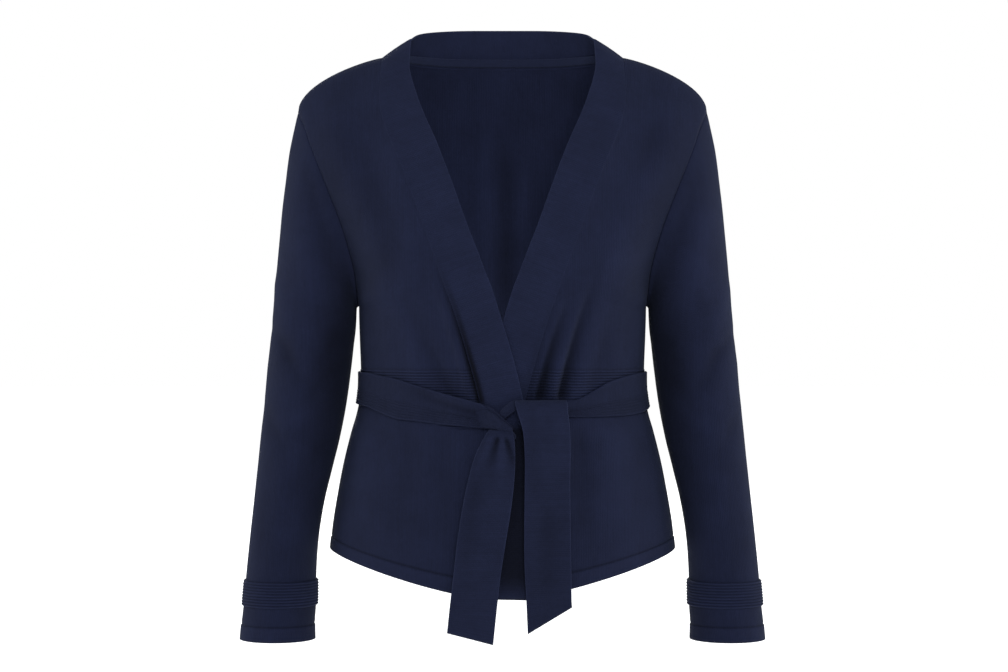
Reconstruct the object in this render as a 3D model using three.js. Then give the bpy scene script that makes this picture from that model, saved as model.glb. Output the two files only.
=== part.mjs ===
// Wrap cardigan with a tied self belt, standing open as if worn by nobody.
// Millimetres, +Z up, front towards -Y, wearer's right towards -X.
// The origin is midway between the neck ends of the two shoulder seams.
import * as THREE from 'three';

// Driving sizes
const CLOTH = 1.6;            // body and sleeve wall
const BAND_CLOTH = 2.4;       // doubled front band
const BELT_CLOTH = 2.2;       // belt, a flattened tube
const STRAP_CLOTH = 1.6;      // cuff strap under its ribs
const TAPE_CLOTH = 1.1;       // neck tape
const SEAM_GAP = 0.3;         // air between two pieces at a seam
const HEM_EXTRA = 0.5;        // how far a turned hem stands proud
const ARMHOLE_TOP_Z = -60;
const ARMHOLE_BOTTOM_Z = -267;
const ARMHOLE_HALF_DEPTH = 52;
const HEM_Z = -525;           // body hem at the side seam
const HEM_TOP_Z = -513.5;     // stitch line of the body hem at the side seam
const LAP = 4.6;              // how far the left front lies behind the right one
const RIB_PITCH = 3;
const RIB_HEIGHT = 0.6;
const WAIST_RIBS = { top: -334, bottom: -394 };
const BAND_WIDTH = 44;        // front band from its seam to its free edge
const BAND_PROUD = 0.4;       // how far the band's face stands over the seam
const BAND_CROWN = 0.8;       // how much fuller the band is along its middle
const BAND_FACE_Y = -112.9;   // face of the band under the belt
const STRAP_SEAT = 0.3;       // air between sleeve and cuff strap
const TAPE_SPAN = [2.4, 11.5];  // the tape's two edges above the neck seam
const BELT_SEAT = RIB_HEIGHT + 0.5;  // belt's inside over the plain cloth
const BELT_RIBS = 6;
const BELT_RIBS_FROM = 0.56;  // share of the belt's width above its ribs

// Half width of the body: armhole seam down to the underarm, then the side seam
const OUTER_EDGE = [
  { z: -60, x: 219.8 }, { z: -76, x: 211 }, { z: -96, x: 203.5 }, { z: -116, x: 195.5 },
  { z: -147, x: 183 }, { z: -175, x: 172 }, { z: -198, x: 164.5 }, { z: -229, x: 156.8 },
  { z: -250, x: 154.8 }, { z: -267, x: 154.2 }, { z: -299, x: 153.2 }, { z: -331, x: 152 },
  { z: -352, x: 152 }, { z: -368, x: 153.6 }, { z: -384, x: 157 }, { z: -400, x: 161.8 },
  { z: -432, x: 169.9 }, { z: -464, x: 176.3 }, { z: -496, x: 181.7 }, { z: -525, x: 185 },
];

// Front, by height of its outer edge. seam: where the band is sewn on. edge: the band's
// free edge. turn and flat: angles of the cross-section at the outer edge and at the seam.
// bow and ease: how the row climbs or dips from the outer edge to the seam.
const FRONT = [
  { z: -60, seam: [129, 0, 0], edge: [99, 7, 21], turn: 0, flat: 0, bow: 1.2, ease: 2 },
  { z: -64, seam: [129, -15, -7], edge: [99, -8, 10], turn: 6, flat: 4, bow: 1.2, ease: 1.9 },
  { z: -75, seam: [129, -34, -26], edge: [98.5, -26, -14], turn: 16, flat: 8, bow: 1.18, ease: 1.72 },
  { z: -96, seam: [128, -57, -57], edge: [90, -46, -44], turn: 34, flat: 12, bow: 1.14, ease: 1.46 },
  { z: -120, seam: [120, -73, -85], edge: [80.5, -60, -69], turn: 46, flat: 15, bow: 1.08, ease: 1.24 },
  { z: -147, seam: [108.5, -87, -112], edge: [68.5, -75, -96], turn: 53, flat: 17, bow: 1.02, ease: 1.06 },
  { z: -175, seam: [93.5, -100, -151], edge: [53.5, -90, -135], turn: 57, flat: 17, bow: 1, ease: 1 },
  { z: -205, seam: [76, -111, -199], edge: [36, -104, -184], turn: 60, flat: 16, bow: 1, ease: 1 },
  { z: -229, seam: [66, -115, -226], edge: [25.5, -110, -211], turn: 66, flat: 14, bow: 1, ease: 1 },
  { z: -250, seam: [58, -117, -249], edge: [17, -113.5, -234], turn: 76, flat: 12, bow: 1, ease: 1 },
  { z: -267, seam: [51.5, -117, -266], edge: [10.5, -115, -250.5], turn: 88, flat: 11, bow: 1, ease: 1 },
  { z: -300, seam: [40.5, -115, -300], edge: [-0.5, -115, -286], turn: 90, flat: 10, bow: 1, ease: 1 },
  { z: -330, seam: [32, -112.5, -330], edge: [-10, -114, -318], turn: 90, flat: 9, bow: 1, ease: 1 },
  { z: -352, seam: [26, -111, -352], edge: [-16.5, -112.5, -343], turn: 90, flat: 8, bow: 1, ease: 1 },
  { z: -370, seam: [22, -111, -370], edge: [-21, -112, -363.5], turn: 90, flat: 8, bow: 1, ease: 1 },
  { z: -400, seam: [18, -112.5, -400], edge: [-25.5, -113, -397], turn: 90, flat: 7, bow: 1, ease: 1 },
  { z: -430, seam: [16.5, -115.5, -435], edge: [-27.5, -116, -434], turn: 89, flat: 6, bow: 1.3, ease: 1 },
  { z: -480, seam: [16, -121.5, -501], edge: [-28, -122, -501], turn: 88, flat: 5, bow: 1.3, ease: 1 },
  { z: -525, seam: [16, -126.5, -566], edge: [-28, -127, -567], turn: 88, flat: 5, bow: 1.3, ease: 1 },
];

// Back, by height of its outer edge. y and zc: the centre back. neck: how strongly the
// row follows the cut neckline and the shoulder seam.
const BACK = [
  { z: -60, y: 66, zc: -5, turn: 30, bow: 1.3, ease: 1.3, neck: 1 },
  { z: -64, y: 69.5, zc: -13, turn: 34, bow: 1.3, ease: 1.3, neck: 0.74 },
  { z: -75, y: 76, zc: -28, turn: 40, bow: 1.3, ease: 1.3, neck: 0.44 },
  { z: -96, y: 85, zc: -54, turn: 46, bow: 1.25, ease: 1.25, neck: 0.2 },
  { z: -120, y: 93, zc: -84, turn: 50, bow: 1.15, ease: 1.15, neck: 0.07 },
  { z: -147, y: 99.5, zc: -120, turn: 54, bow: 1.05, ease: 1.05, neck: 0 },
  { z: -175, y: 103, zc: -158, turn: 57, bow: 1, ease: 1, neck: 0 },
  { z: -205, y: 104, zc: -197, turn: 60, bow: 1, ease: 1, neck: 0 },
  { z: -229, y: 102.5, zc: -226, turn: 66, bow: 1, ease: 1, neck: 0 },
  { z: -250, y: 99.5, zc: -249, turn: 76, bow: 1, ease: 1, neck: 0 },
  { z: -267, y: 97, zc: -267, turn: 88, bow: 1, ease: 1, neck: 0 },
  { z: -300, y: 90, zc: -300, turn: 90, bow: 1, ease: 1, neck: 0 },
  { z: -330, y: 83.5, zc: -330, turn: 90, bow: 1, ease: 1, neck: 0 },
  { z: -352, y: 81, zc: -352, turn: 90, bow: 1, ease: 1, neck: 0 },
  { z: -370, y: 80.5, zc: -370, turn: 90, bow: 1, ease: 1, neck: 0 },
  { z: -400, y: 83, zc: -400, turn: 90, bow: 1, ease: 1, neck: 0 },
  { z: -430, y: 88.5, zc: -434, turn: 89, bow: 1.3, ease: 1, neck: 0 },
  { z: -480, y: 98, zc: -495, turn: 88, bow: 1.3, ease: 1, neck: 0 },
  { z: -525, y: 105, zc: -556, turn: 88, bow: 1.3, ease: 1, neck: 0 },
];

// Back neck, from the shoulder (along 0) to the centre back (along 1)
const NECK = [
  { along: 0, seam: [129, 0, 0], edge: [99, 7, 21] },
  { along: 0.33, seam: [108, 33, -2.5], edge: [88, 30, 30.5] },
  { along: 0.66, seam: [62, 57, -5], edge: [53, 53, 36.5] },
  { along: 1, seam: [0, 66, -5], edge: [0, 61, 38] },
];

// Sleeve rings after the armhole: outer and inner point seen from the front, half depth,
// and how far the ring's middle lies forward
const SLEEVE = [
  { outer: [222.5, -72], inner: [156.6, -269], depth: 52.2, forward: 0 },
  { outer: [228.5, -101], inner: [157, -273], depth: 52.5, forward: 0 },
  { outer: [233, -136], inner: [157.2, -281], depth: 52, forward: 0 },
  { outer: [237.5, -175], inner: [158, -293], depth: 51, forward: -1 },
  { outer: [241.5, -216], inner: [160, -309], depth: 50, forward: -2 },
  { outer: [245, -258], inner: [162.3, -330], depth: 49, forward: -2 },
  { outer: [249, -300], inner: [165.5, -356], depth: 48, forward: -1 },
  { outer: [253, -342], inner: [169.5, -382], depth: 46.5, forward: 0 },
  { outer: [257, -384], inner: [175.5, -412], depth: 45, forward: 2 },
  { outer: [261, -426], inner: [182.8, -442], depth: 43, forward: 5 },
  { outer: [265.2, -468], inner: [190.5, -475], depth: 41, forward: 8 },
  { outer: [269.5, -510], inner: [196.3, -512], depth: 39.5, forward: 11 },
  { outer: [273, -548], inner: [198.7, -548], depth: 38, forward: 14 },
  { outer: [276, -585], inner: [199, -585], depth: 37.5, forward: 16 },
  { outer: [278.2, -605.5], inner: [200.2, -605.5], depth: 37.5, forward: 17 },
];
const CUFF_HEM = [
  { outer: [278.8, -606.1], inner: [199.7, -606.1], depth: 38, forward: 17 },
  { outer: [280, -621], inner: [199.5, -621], depth: 38.6, forward: 18 },
];
const STRAP = { top: -558, bottom: -585.5, ribs: 9 };

// Folds that the tied waist pulls into the fronts, as lines seen from the front
const FOLDS_RIGHT = [
  { from: [74, -215], to: [27, -366], depth: [0.5, 4.2], width: 8, shift: 7 },
  { from: [92, -270], to: [50, -366], depth: [0.2, 2.2], width: 9, shift: 0 },
];
const FOLDS_LEFT = [
  { from: [67, -268], to: [38, -366], depth: [0.6, 4.5], width: 7, shift: 0 },
  { from: [94, -248], to: [60, -366], depth: [0.4, 4.2], width: 7, shift: 0 },
  { from: [124, -256], to: [90, -350], depth: [0.2, 1.4], width: 11, shift: 0 },
];

const FRONT_COLUMNS = [0, 0.1, 0.22, 0.34, 0.45, 0.55, 0.65, 0.74, 0.82, 0.89, 0.95, 1];
const HALF_BACK_COLUMNS = [0.1, 0.2, 0.3, 0.4, 0.5, 0.6, 0.71, 0.82, 0.92, 1];
const BACK_COLUMNS = [...HALF_BACK_COLUMNS.map((u) => -u).reverse(), 0, ...HALF_BACK_COLUMNS];
const UPPER_ROWS = [-60, -61.5, -66, -74, -86, -101, -119, -138, -158, -178, -198, -217, -234, -249,
  -260, -267, -283, -300, -317];
const LOWER_ROWS = [-412, -432, -456, -482, HEM_TOP_Z, HEM_TOP_Z - 0.5, HEM_Z];
const PLAIN_ROWS = [-60, -66, -74, -86, -101, -119, -138, -158, -178, -198, -217, -234, -249, -260,
  -267, -300, -334, -364, -394, -432, -482, HEM_TOP_Z, HEM_Z];
const SLEEVE_SIDES = 16;

const NAVY = 0x1c2340;
const navyKnit = () => new THREE.MeshStandardMaterial({ color: NAVY, roughness: 0.9, metalness: 0 });
const navyTape = () => new THREE.MeshStandardMaterial({ color: 0x20284a, roughness: 0.8, metalness: 0 });

// Small helpers
const vec = (x, y, z) => new THREE.Vector3(x, y, z);
const mix = (a, b, t) => a + (b - a) * t;
const clamp01 = (t) => Math.min(1, Math.max(0, t));
const smooth = (from, to, value) => {
  const t = clamp01((value - from) / (to - from));
  return t * t * (3 - 2 * t);
};

// Smooth curve through a table: key is the running column, pick reads one value of a row.
function curve(table, key, pick, at) {
  const sign = Math.sign(table[table.length - 1][key] - table[0][key]);
  let i = 0;
  while (i < table.length - 2 && (at - table[i + 1][key]) * sign > 0) i += 1;
  const slope = (k) => {
    const before = table[Math.max(0, k - 1)];
    const after = table[Math.min(table.length - 1, k + 1)];
    return (pick(after) - pick(before)) / (after[key] - before[key]);
  };
  const span = table[i + 1][key] - table[i][key];
  const t = clamp01((at - table[i][key]) / span);
  const t2 = t * t;
  const t3 = t2 * t;
  return (2 * t3 - 3 * t2 + 1) * pick(table[i]) + (t3 - 2 * t2 + t) * span * slope(i)
    + (3 * t2 - 2 * t3) * pick(table[i + 1]) + (t3 - t2) * span * slope(i + 1);
}
const point3 = (table, key, field, at) => vec(...[0, 1, 2].map(
  (axis) => curve(table, key, (row) => row[field][axis], at)));

// Armhole and side seam of the front, with x counted outwards on either side
const ARMHOLE_MID_Z = (ARMHOLE_TOP_Z + ARMHOLE_BOTTOM_Z) / 2;
const ARMHOLE_HALF_HEIGHT = (ARMHOLE_TOP_Z - ARMHOLE_BOTTOM_Z) / 2;
const outerX = (z) => curve(OUTER_EDGE, 'z', (row) => row.x, z);
function armholeDepth(z) {
  const rise = (z - ARMHOLE_MID_Z) / ARMHOLE_HALF_HEIGHT;
  return ARMHOLE_HALF_DEPTH * Math.sqrt(Math.max(0, 1 - rise * rise));
}

// Direction and length of the cut edge of both walls at the armhole, towards its middle
function armholeMitre(z, face) {
  const step = 1.5;
  const high = Math.min(z + step, ARMHOLE_TOP_Z);
  const low = Math.max(z - step, ARMHOLE_BOTTOM_Z);
  const lean = (outerX(high) - outerX(low)) / (high - low);
  const outward = vec(1, 0, -lean).normalize();
  const rise = clamp01((z - ARMHOLE_BOTTOM_Z) / (2 * ARMHOLE_HALF_HEIGHT)) * 2 - 1;
  const around = Math.sqrt(Math.max(0, 1 - rise * rise));
  const up = vec(lean, 0, 1).normalize();
  const inPlane = up.multiplyScalar(-rise / ARMHOLE_HALF_HEIGHT)
    .add(vec(0, -face * around / ARMHOLE_HALF_DEPTH, 0)).normalize();
  const reach = CLOTH * (1.2 + 0.8 * Math.pow((1 + rise) / 2, 2));
  return { outward, inward: inPlane.multiplyScalar(reach) };
}

// Cubic from a to d with handles along the two given directions
function cubic(a, b, c, d, t) {
  const s = 1 - t;
  return s * s * s * a + 3 * s * s * t * b + 3 * s * t * t * c + t * t * t * d;
}

function rowPoint(outer, inner, turn, flat, bow, ease, t, face) {
  const dx = outer[0] - inner[0];
  const dy = Math.abs(inner[1] - outer[1]);
  const a = THREE.MathUtils.degToRad(turn);
  const b = THREE.MathUtils.degToRad(flat);
  const reachOut = 0.55 * (dx * Math.cos(a) + dy * Math.sin(a));
  const reachIn = 0.55 * (dx * Math.cos(b) + dy * Math.sin(b));
  const x = cubic(outer[0], outer[0] - reachOut * Math.cos(a), inner[0] + reachIn * Math.cos(b),
    inner[0], t);
  const y = cubic(outer[1], outer[1] + face * reachOut * Math.sin(a),
    inner[1] - face * reachIn * Math.sin(b), inner[1], t);
  const share = clamp01((outer[0] - x) / dx);
  const climb = Math.pow(1 - Math.pow(1 - share, bow), 1 / ease);
  return vec(x, y, mix(outer[2], inner[2], climb));
}

const seamPoint = (z) => point3(FRONT, 'z', 'seam', z);
const edgePoint = (z) => point3(FRONT, 'z', 'edge', z);

// Front surface without ribs: t runs from the outer edge (0) to the band seam (1)
function frontSurface(t, z) {
  const pick = (field) => curve(FRONT, 'z', (row) => row[field], z);
  const seam = seamPoint(z);
  const outer = [outerX(z), z > ARMHOLE_BOTTOM_Z ? -armholeDepth(z) : 0, z];
  return rowPoint(outer, [seam.x, seam.y, seam.z], pick('turn'), pick('flat'), pick('bow'),
    pick('ease'), t, -1);
}

// Back surface: u runs from the right outer edge (-1) over the centre back (0) to the left (1)
const NECK_SHARE = 0.5;
function backSurface(u, z) {
  const pick = (field) => curve(BACK, 'z', (row) => row[field], z);
  const across = Math.abs(u);
  const outer = (level) => [outerX(level), level > ARMHOLE_BOTTOM_Z ? armholeDepth(level) : 0, level];
  const base = rowPoint(outer(z), [0, pick('y'), pick('zc')], pick('turn'), 0, pick('bow'),
    pick('ease'), 1 - across, 1);
  const neck = pick('neck');
  if (neck > 0) {
    const topBase = rowPoint(outer(ARMHOLE_TOP_Z), [0, BACK[0].y, BACK[0].zc], BACK[0].turn, 0,
      BACK[0].bow, BACK[0].ease, 1 - across, 1);
    const cut = across <= NECK_SHARE
      ? point3(NECK, 'along', 'seam', 1 - across / NECK_SHARE)
      : frontSurface((1 - across) / (1 - NECK_SHARE), ARMHOLE_TOP_Z);
    base.add(cut.sub(topBase).multiplyScalar(neck));
  }
  base.x *= Math.sign(u) || 1;
  return base;
}

function foldLift(folds, x, z) {
  let lift = 0;
  folds.forEach((fold) => {
    const dx = fold.to[0] - fold.from[0];
    const dz = fold.to[1] - fold.from[1];
    const length = Math.hypot(dx, dz);
    const along = ((x - fold.from[0]) * dx + (z - fold.from[1]) * dz) / (length * length);
    const aside = ((x - fold.from[0]) * dz - (z - fold.from[1]) * dx) / length + fold.shift;
    const fade = smooth(-0.12, 0.15, along) * (1 - smooth(1.05, 1.3, along));
    const depth = mix(fold.depth[0], fold.depth[1], clamp01(along));
    lift -= depth * fade * Math.exp(-Math.pow(aside / fold.width, 2));
  });
  return lift;
}

function ribLift(z) {
  if (z > WAIST_RIBS.top || z < WAIST_RIBS.bottom) return 0;
  const phase = (WAIST_RIBS.top - z) / RIB_PITCH;
  return RIB_HEIGHT * (0.5 - 0.5 * Math.cos(2 * Math.PI * phase));
}

// How far a point of the left front lies behind the right front, where the two cross
const lapShift = (x, z) => LAP * (1 - smooth(24, 62, x)) * smooth(-262, -305, z);

// Unit normals of a grid of points; wraps says that its last column meets its first
function gridNormals(points, wraps) {
  const rows = points.length;
  const width = points[0].length;
  return points.map((row, i) => row.map((_, j) => {
    const up = points[Math.max(0, i - 1)][j];
    const down = points[Math.min(rows - 1, i + 1)][j];
    const before = points[i][wraps ? (j + width - 1) % width : Math.max(0, j - 1)];
    const after = points[i][wraps ? (j + 1) % width : Math.min(width - 1, j + 1)];
    return down.clone().sub(up).cross(after.clone().sub(before)).normalize();
  }));
}

// A closed cloth wall from an outer and an inner grid, which may have other row counts
class Wall {
  constructor() {
    this.points = [];
    this.faces = [];
  }

  grid(rows, wraps, inside) {
    const start = this.points.length;
    const width = rows[0].length;
    rows.forEach((row) => this.points.push(...row));
    const at = (i, j) => start + i * width + (j % width);
    const quads = wraps ? width : width - 1;
    for (let i = 0; i + 1 < rows.length; i += 1) {
      for (let j = 0; j < quads; j += 1) {
        const quad = [at(i, j), at(i + 1, j), at(i + 1, j + 1), at(i, j + 1)];
        if (inside) quad.reverse();
        this.faces.push([quad[0], quad[1], quad[2]], [quad[0], quad[2], quad[3]]);
      }
    }
    return { at, rows: rows.length, width, quads };
  }

  shares(line) {
    const lengths = [0];
    for (let k = 1; k < line.length; k += 1) {
      const step = this.points[line[k]].distanceTo(this.points[line[k - 1]]);
      lengths.push(lengths[k - 1] + step);
    }
    return lengths.map((length) => length / lengths[lengths.length - 1]);
  }

  zip(outer, inner) {
    const outerShare = this.shares(outer);
    const innerShare = this.shares(inner);
    let a = 0;
    let b = 0;
    while (a < outer.length - 1 || b < inner.length - 1) {
      const outerNext = b === inner.length - 1
        || (a < outer.length - 1 && outerShare[a + 1] <= innerShare[b + 1]);
      if (outerNext) {
        this.faces.push([outer[a + 1], outer[a], inner[b]]);
        a += 1;
      } else {
        this.faces.push([outer[a], inner[b], inner[b + 1]]);
        b += 1;
      }
    }
  }

  geometry() {
    let volume = 0;
    this.faces.forEach(([a, b, c]) => {
      volume += this.points[a].dot(this.points[b].clone().cross(this.points[c]));
    });
    if (volume < 0) this.faces.forEach((face) => face.reverse());
    const shape = new THREE.BufferGeometry();
    shape.setAttribute('position', new THREE.Float32BufferAttribute(
      this.points.flatMap((p) => [p.x, p.y, p.z]), 3));
    shape.setIndex(this.faces.flat());
    shape.computeVertexNormals();
    return shape;
  }
}

const upTo = (count) => Array.from({ length: count + 1 }, (_, k) => k);

// A sheet with four rims
function sheet(outerRows, innerRows) {
  const wall = new Wall();
  const outer = wall.grid(outerRows, false, false);
  const inner = wall.grid(innerRows, false, true);
  const rims = [
    (g) => upTo(g.rows - 1).map((i) => g.at(i, 0)),
    (g) => upTo(g.width - 1).map((j) => g.at(g.rows - 1, j)),
    (g) => upTo(g.rows - 1).reverse().map((i) => g.at(i, g.width - 1)),
    (g) => upTo(g.width - 1).reverse().map((j) => g.at(0, j)),
  ];
  rims.forEach((rim) => wall.zip(rim(outer), rim(inner)));
  return wall.geometry();
}

// A tube with two rims
function tube(outerRows, innerRows) {
  const wall = new Wall();
  const outer = wall.grid(outerRows, true, false);
  const inner = wall.grid(innerRows, true, true);
  const top = (g) => upTo(g.width).reverse().map((j) => g.at(0, j));
  const bottom = (g) => upTo(g.width).map((j) => g.at(g.rows - 1, j));
  wall.zip(top(outer), top(inner));
  wall.zip(bottom(outer), bottom(inner));
  return wall.geometry();
}

const mirrored = (rows, side) => rows.map((row) => row.map((p) => vec(p.x * side, p.y, p.z)));

// Seam point, free edge point, direction across and normal of the band at one place
function bandFrame(table, key, at) {
  const seam = point3(table, key, 'seam', at);
  const edge = point3(table, key, 'edge', at);
  const span = Math.abs(table[table.length - 1][key] - table[0][key]);
  const step = span * 0.004;
  const first = Math.min(table[0][key], table[table.length - 1][key]);
  const before = point3(table, key, 'seam', Math.max(first, at - step));
  const after = point3(table, key, 'seam', Math.min(first + span, at + step));
  const across = edge.clone().sub(seam);
  const normal = after.sub(before).cross(across).normalize();
  return { seam, edge, across: across.clone().normalize(), normal };
}

// Inward face of front and back where the shoulder seam meets the neck seam
const neckPointInward = () => vec(-0.45, 0, -0.89).multiplyScalar(CLOTH);

// Fronts
const hemProud = (z) => (z < HEM_TOP_Z - 0.2 ? HEM_EXTRA : 0);
const ribRows = upTo(Math.round((WAIST_RIBS.top - WAIST_RIBS.bottom) / (RIB_PITCH / 2)))
  .map((k) => WAIST_RIBS.top - k * RIB_PITCH / 2);
const outerRowHeights = [...UPPER_ROWS, ...ribRows, ...LOWER_ROWS];

function frontGrid(heights, folds, laps) {
  return heights.map((z) => FRONT_COLUMNS.map((t) => {
    const p = frontSurface(t, z);
    const shaped = t > 0 && t < 1 ? foldLift(folds, p.x, p.z) : 0;
    p.y -= shaped;
    if (laps) p.y += lapShift(p.x, p.z);
    return p;
  }));
}

function dressFront(heights, folds, laps, raised) {
  const base = frontGrid(heights, folds, laps);
  const normals = gridNormals(base, false);
  const last = FRONT_COLUMNS.length - 1;
  return base.map((row, i) => row.map((p, j) => {
    const z = heights[i];
    const normal = normals[i][j].clone();
    if (normal.dot(vec(p.x * 0.4, p.y - 20, z > -70 ? 200 : 0)) < 0) normal.negate();
    const out = p.clone();
    let inward = normal.clone().multiplyScalar(-CLOTH);
    if (j === 0 && z > ARMHOLE_BOTTOM_Z - 0.1) inward = armholeMitre(z, -1).inward;
    else if (j === 0) inward = vec(-CLOTH, 0, 0);
    if (j === last) {
      const frame = bandFrame(FRONT, 'z', z);
      const facing = frame.normal.y > 0 ? -1 : 1;
      inward = frame.normal.multiplyScalar(-facing * CLOTH);
      out.sub(frame.across.multiplyScalar(SEAM_GAP));
      if (i === 0) inward = neckPointInward();
    }
    if (i === 0 && j > 0 && j < last) {
      const rise = row[j - 1].clone().sub(row[j + 1]);
      inward = vec(rise.z, 0, -rise.x).normalize().multiplyScalar(CLOTH);
      if (inward.z > 0) inward.negate();
    }
    if (j === 0 || i === 0) out.y -= SEAM_GAP / 2;
    if (!raised) return out.add(inward);
    const lift = ribLift(z) * (j === last ? 0.3 : 1) + hemProud(z);
    return out.add(inward.clone().normalize().multiplyScalar(-lift));
  }));
}

function frontPanel(side, folds, laps) {
  const outer = dressFront(outerRowHeights, folds, laps, true);
  const inner = dressFront(PLAIN_ROWS, folds, laps, false);
  return sheet(mirrored(outer, side), mirrored(inner, side));
}

// Back
function dressBack(heights, raised) {
  const base = heights.map((z) => BACK_COLUMNS.map((u) => backSurface(u, z)));
  const normals = gridNormals(base, false);
  const last = BACK_COLUMNS.length - 1;
  return base.map((row, i) => row.map((p, j) => {
    const z = heights[i];
    const side = Math.sign(BACK_COLUMNS[j]) || 1;
    const normal = normals[i][j].clone();
    if (normal.dot(vec(p.x * 0.4, p.y + 20, z > -70 ? 200 : 0)) < 0) normal.negate();
    const out = p.clone();
    let inward = normal.clone().multiplyScalar(-CLOTH);
    if (j === 0 || j === last) {
      inward = z > ARMHOLE_BOTTOM_Z - 0.1 ? armholeMitre(z, 1).inward : vec(-CLOTH, 0, 0);
      inward.x *= side;
    } else if (i === 0 && Math.abs(BACK_COLUMNS[j]) > NECK_SHARE) {
      const rise = row[j - 1].clone().sub(row[j + 1]);
      inward = vec(rise.z, 0, -rise.x).normalize().multiplyScalar(CLOTH);
      if (inward.z > 0) inward.negate();
    } else if (i === 0) {
      const along = 1 - Math.abs(BACK_COLUMNS[j]) / NECK_SHARE;
      const frame = bandFrame(NECK, 'along', along);
      const facing = frame.normal.y * 0.9 + frame.normal.z * 0.3 > 0 ? 1 : -1;
      inward = frame.normal.multiplyScalar(-facing * CLOTH);
      inward.x *= side;
      frame.across.x *= side;
      out.sub(frame.across.multiplyScalar(SEAM_GAP * 1.5));
      if (Math.abs(BACK_COLUMNS[j]) === NECK_SHARE) {
        inward = neckPointInward();
        inward.x *= side;
        out.y = 0;
      }
    }
    const onSeam = j === 0 || j === last || (i === 0 && Math.abs(BACK_COLUMNS[j]) >= NECK_SHARE);
    if (onSeam) out.y += SEAM_GAP / 2;
    if (!raised) return out.add(inward);
    const lift = ribLift(z) + hemProud(z);
    return out.add(inward.clone().normalize().multiplyScalar(-lift));
  }));
}

// Sleeves
function armholePoint(angle) {
  const z = ARMHOLE_MID_Z + ARMHOLE_HALF_HEIGHT * Math.cos(angle);
  return vec(outerX(z), -ARMHOLE_HALF_DEPTH * Math.sin(angle), z);
}

const SAG_FADE = [0.8, 0.5, 0.22, 0.06];
function sleeveRing(row, angle, index) {
  const midX = (row.outer[0] + row.inner[0]) / 2;
  const midZ = (row.outer[1] + row.inner[1]) / 2;
  const halfX = (row.outer[0] - row.inner[0]) / 2;
  const halfZ = (row.outer[1] - row.inner[1]) / 2;
  const armhole = armholePoint(angle);
  const top = armholePoint(0);
  const foot = armholePoint(Math.PI);
  const straight = mix(foot.x, top.x, (Math.cos(angle) + 1) / 2);
  const sag = (armhole.x - straight) * (SAG_FADE[index] || 0);
  return vec(midX + halfX * Math.cos(angle) + sag, -row.depth * Math.sin(angle) - row.forward,
    midZ + halfZ * Math.cos(angle));
}

const sleeveAngles = upTo(SLEEVE_SIDES - 1).map((k) => 2 * Math.PI * k / SLEEVE_SIDES);

function sleeveShape(side) {
  const rings = [...SLEEVE, ...CUFF_HEM];
  const base = [sleeveAngles.map(armholePoint),
    ...rings.map((row, index) => sleeveAngles.map((angle) => sleeveRing(row, angle, index)))];
  const normals = gridNormals(base, true);
  const plainRing = SLEEVE.length;
  const outer = base.map((row) => row.map((p) => p.clone()));
  const inner = base.map((row, i) => row.map((p, j) => {
    const centre = row.reduce((sum, q) => sum.add(q), vec(0, 0, 0)).divideScalar(row.length);
    const normal = normals[i > plainRing ? plainRing : i][j].clone();
    if (normal.dot(p.clone().sub(centre)) < 0) normal.negate();
    return p.clone().sub(normal.multiplyScalar(i > plainRing ? CLOTH + HEM_EXTRA : CLOTH));
  }));
  sleeveAngles.forEach((angle, j) => {
    const p = base[0][j];
    const mitre = armholeMitre(p.z, p.y <= 0 ? -1 : 1);
    outer[0][j] = p.clone().add(mitre.outward.multiplyScalar(SEAM_GAP + 0.1));
    inner[0][j] = outer[0][j].clone().add(mitre.inward);
  });
  return tube(mirrored(outer, side), mirrored(inner, side));
}

// Cuff strap: follows the sleeve, moved out. It lies between the sleeve's rings 12 and 13.
const STRAP_RING = 12;
const STRAP_RIB_HEIGHT = RIB_HEIGHT + 0.2;
function strapShape(side) {
  const [high, low] = SLEEVE.slice(STRAP_RING, STRAP_RING + 2);
  const rows = upTo(STRAP.ribs * 2);
  const ring = (z, out) => sleeveAngles.map((angle) => {
    const share = (z - high.outer[1]) / (low.outer[1] - high.outer[1]);
    const row = {
      outer: [mix(high.outer[0], low.outer[0], share) + out, z],
      inner: [mix(high.inner[0], low.inner[0], share) - out, z],
      depth: mix(high.depth, low.depth, share) + out,
      forward: mix(high.forward, low.forward, share),
    };
    return sleeveRing(row, angle, SAG_FADE.length);
  });
  const outer = rows.map((k) => ring(mix(STRAP.top, STRAP.bottom, k / (STRAP.ribs * 2)),
    STRAP_SEAT + STRAP_CLOTH + (k % 2 ? STRAP_RIB_HEIGHT : 0)));
  const inner = [STRAP.top, STRAP.bottom].map((z) => ring(z, STRAP_SEAT));
  return tube(mirrored(outer, side), mirrored(inner, side));
}

// Front band: three columns from the seam to the free edge, from the hem to the centre back
const BAND_STEPS = [0.02, 0.35, 0.7, 1];
const BAND_ROWS = [-525, -505, -480, -455, -430, -412, -396, -380, -364, -348, -332, -316, -300, -284,
  -267, -250, -234, -217, -198, -178, -158, -138, -119, -101, -86, -74, -66, -61.5];
const NECK_ROWS = [0, 0.2, 0.4, 0.6, 0.8, 1];

function bandStation(table, key, at, outwardY) {
  const frame = bandFrame(table, key, at);
  if (frame.normal.y * outwardY + frame.normal.z * 0.4 < 0) frame.normal.negate();
  return frame;
}

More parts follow.
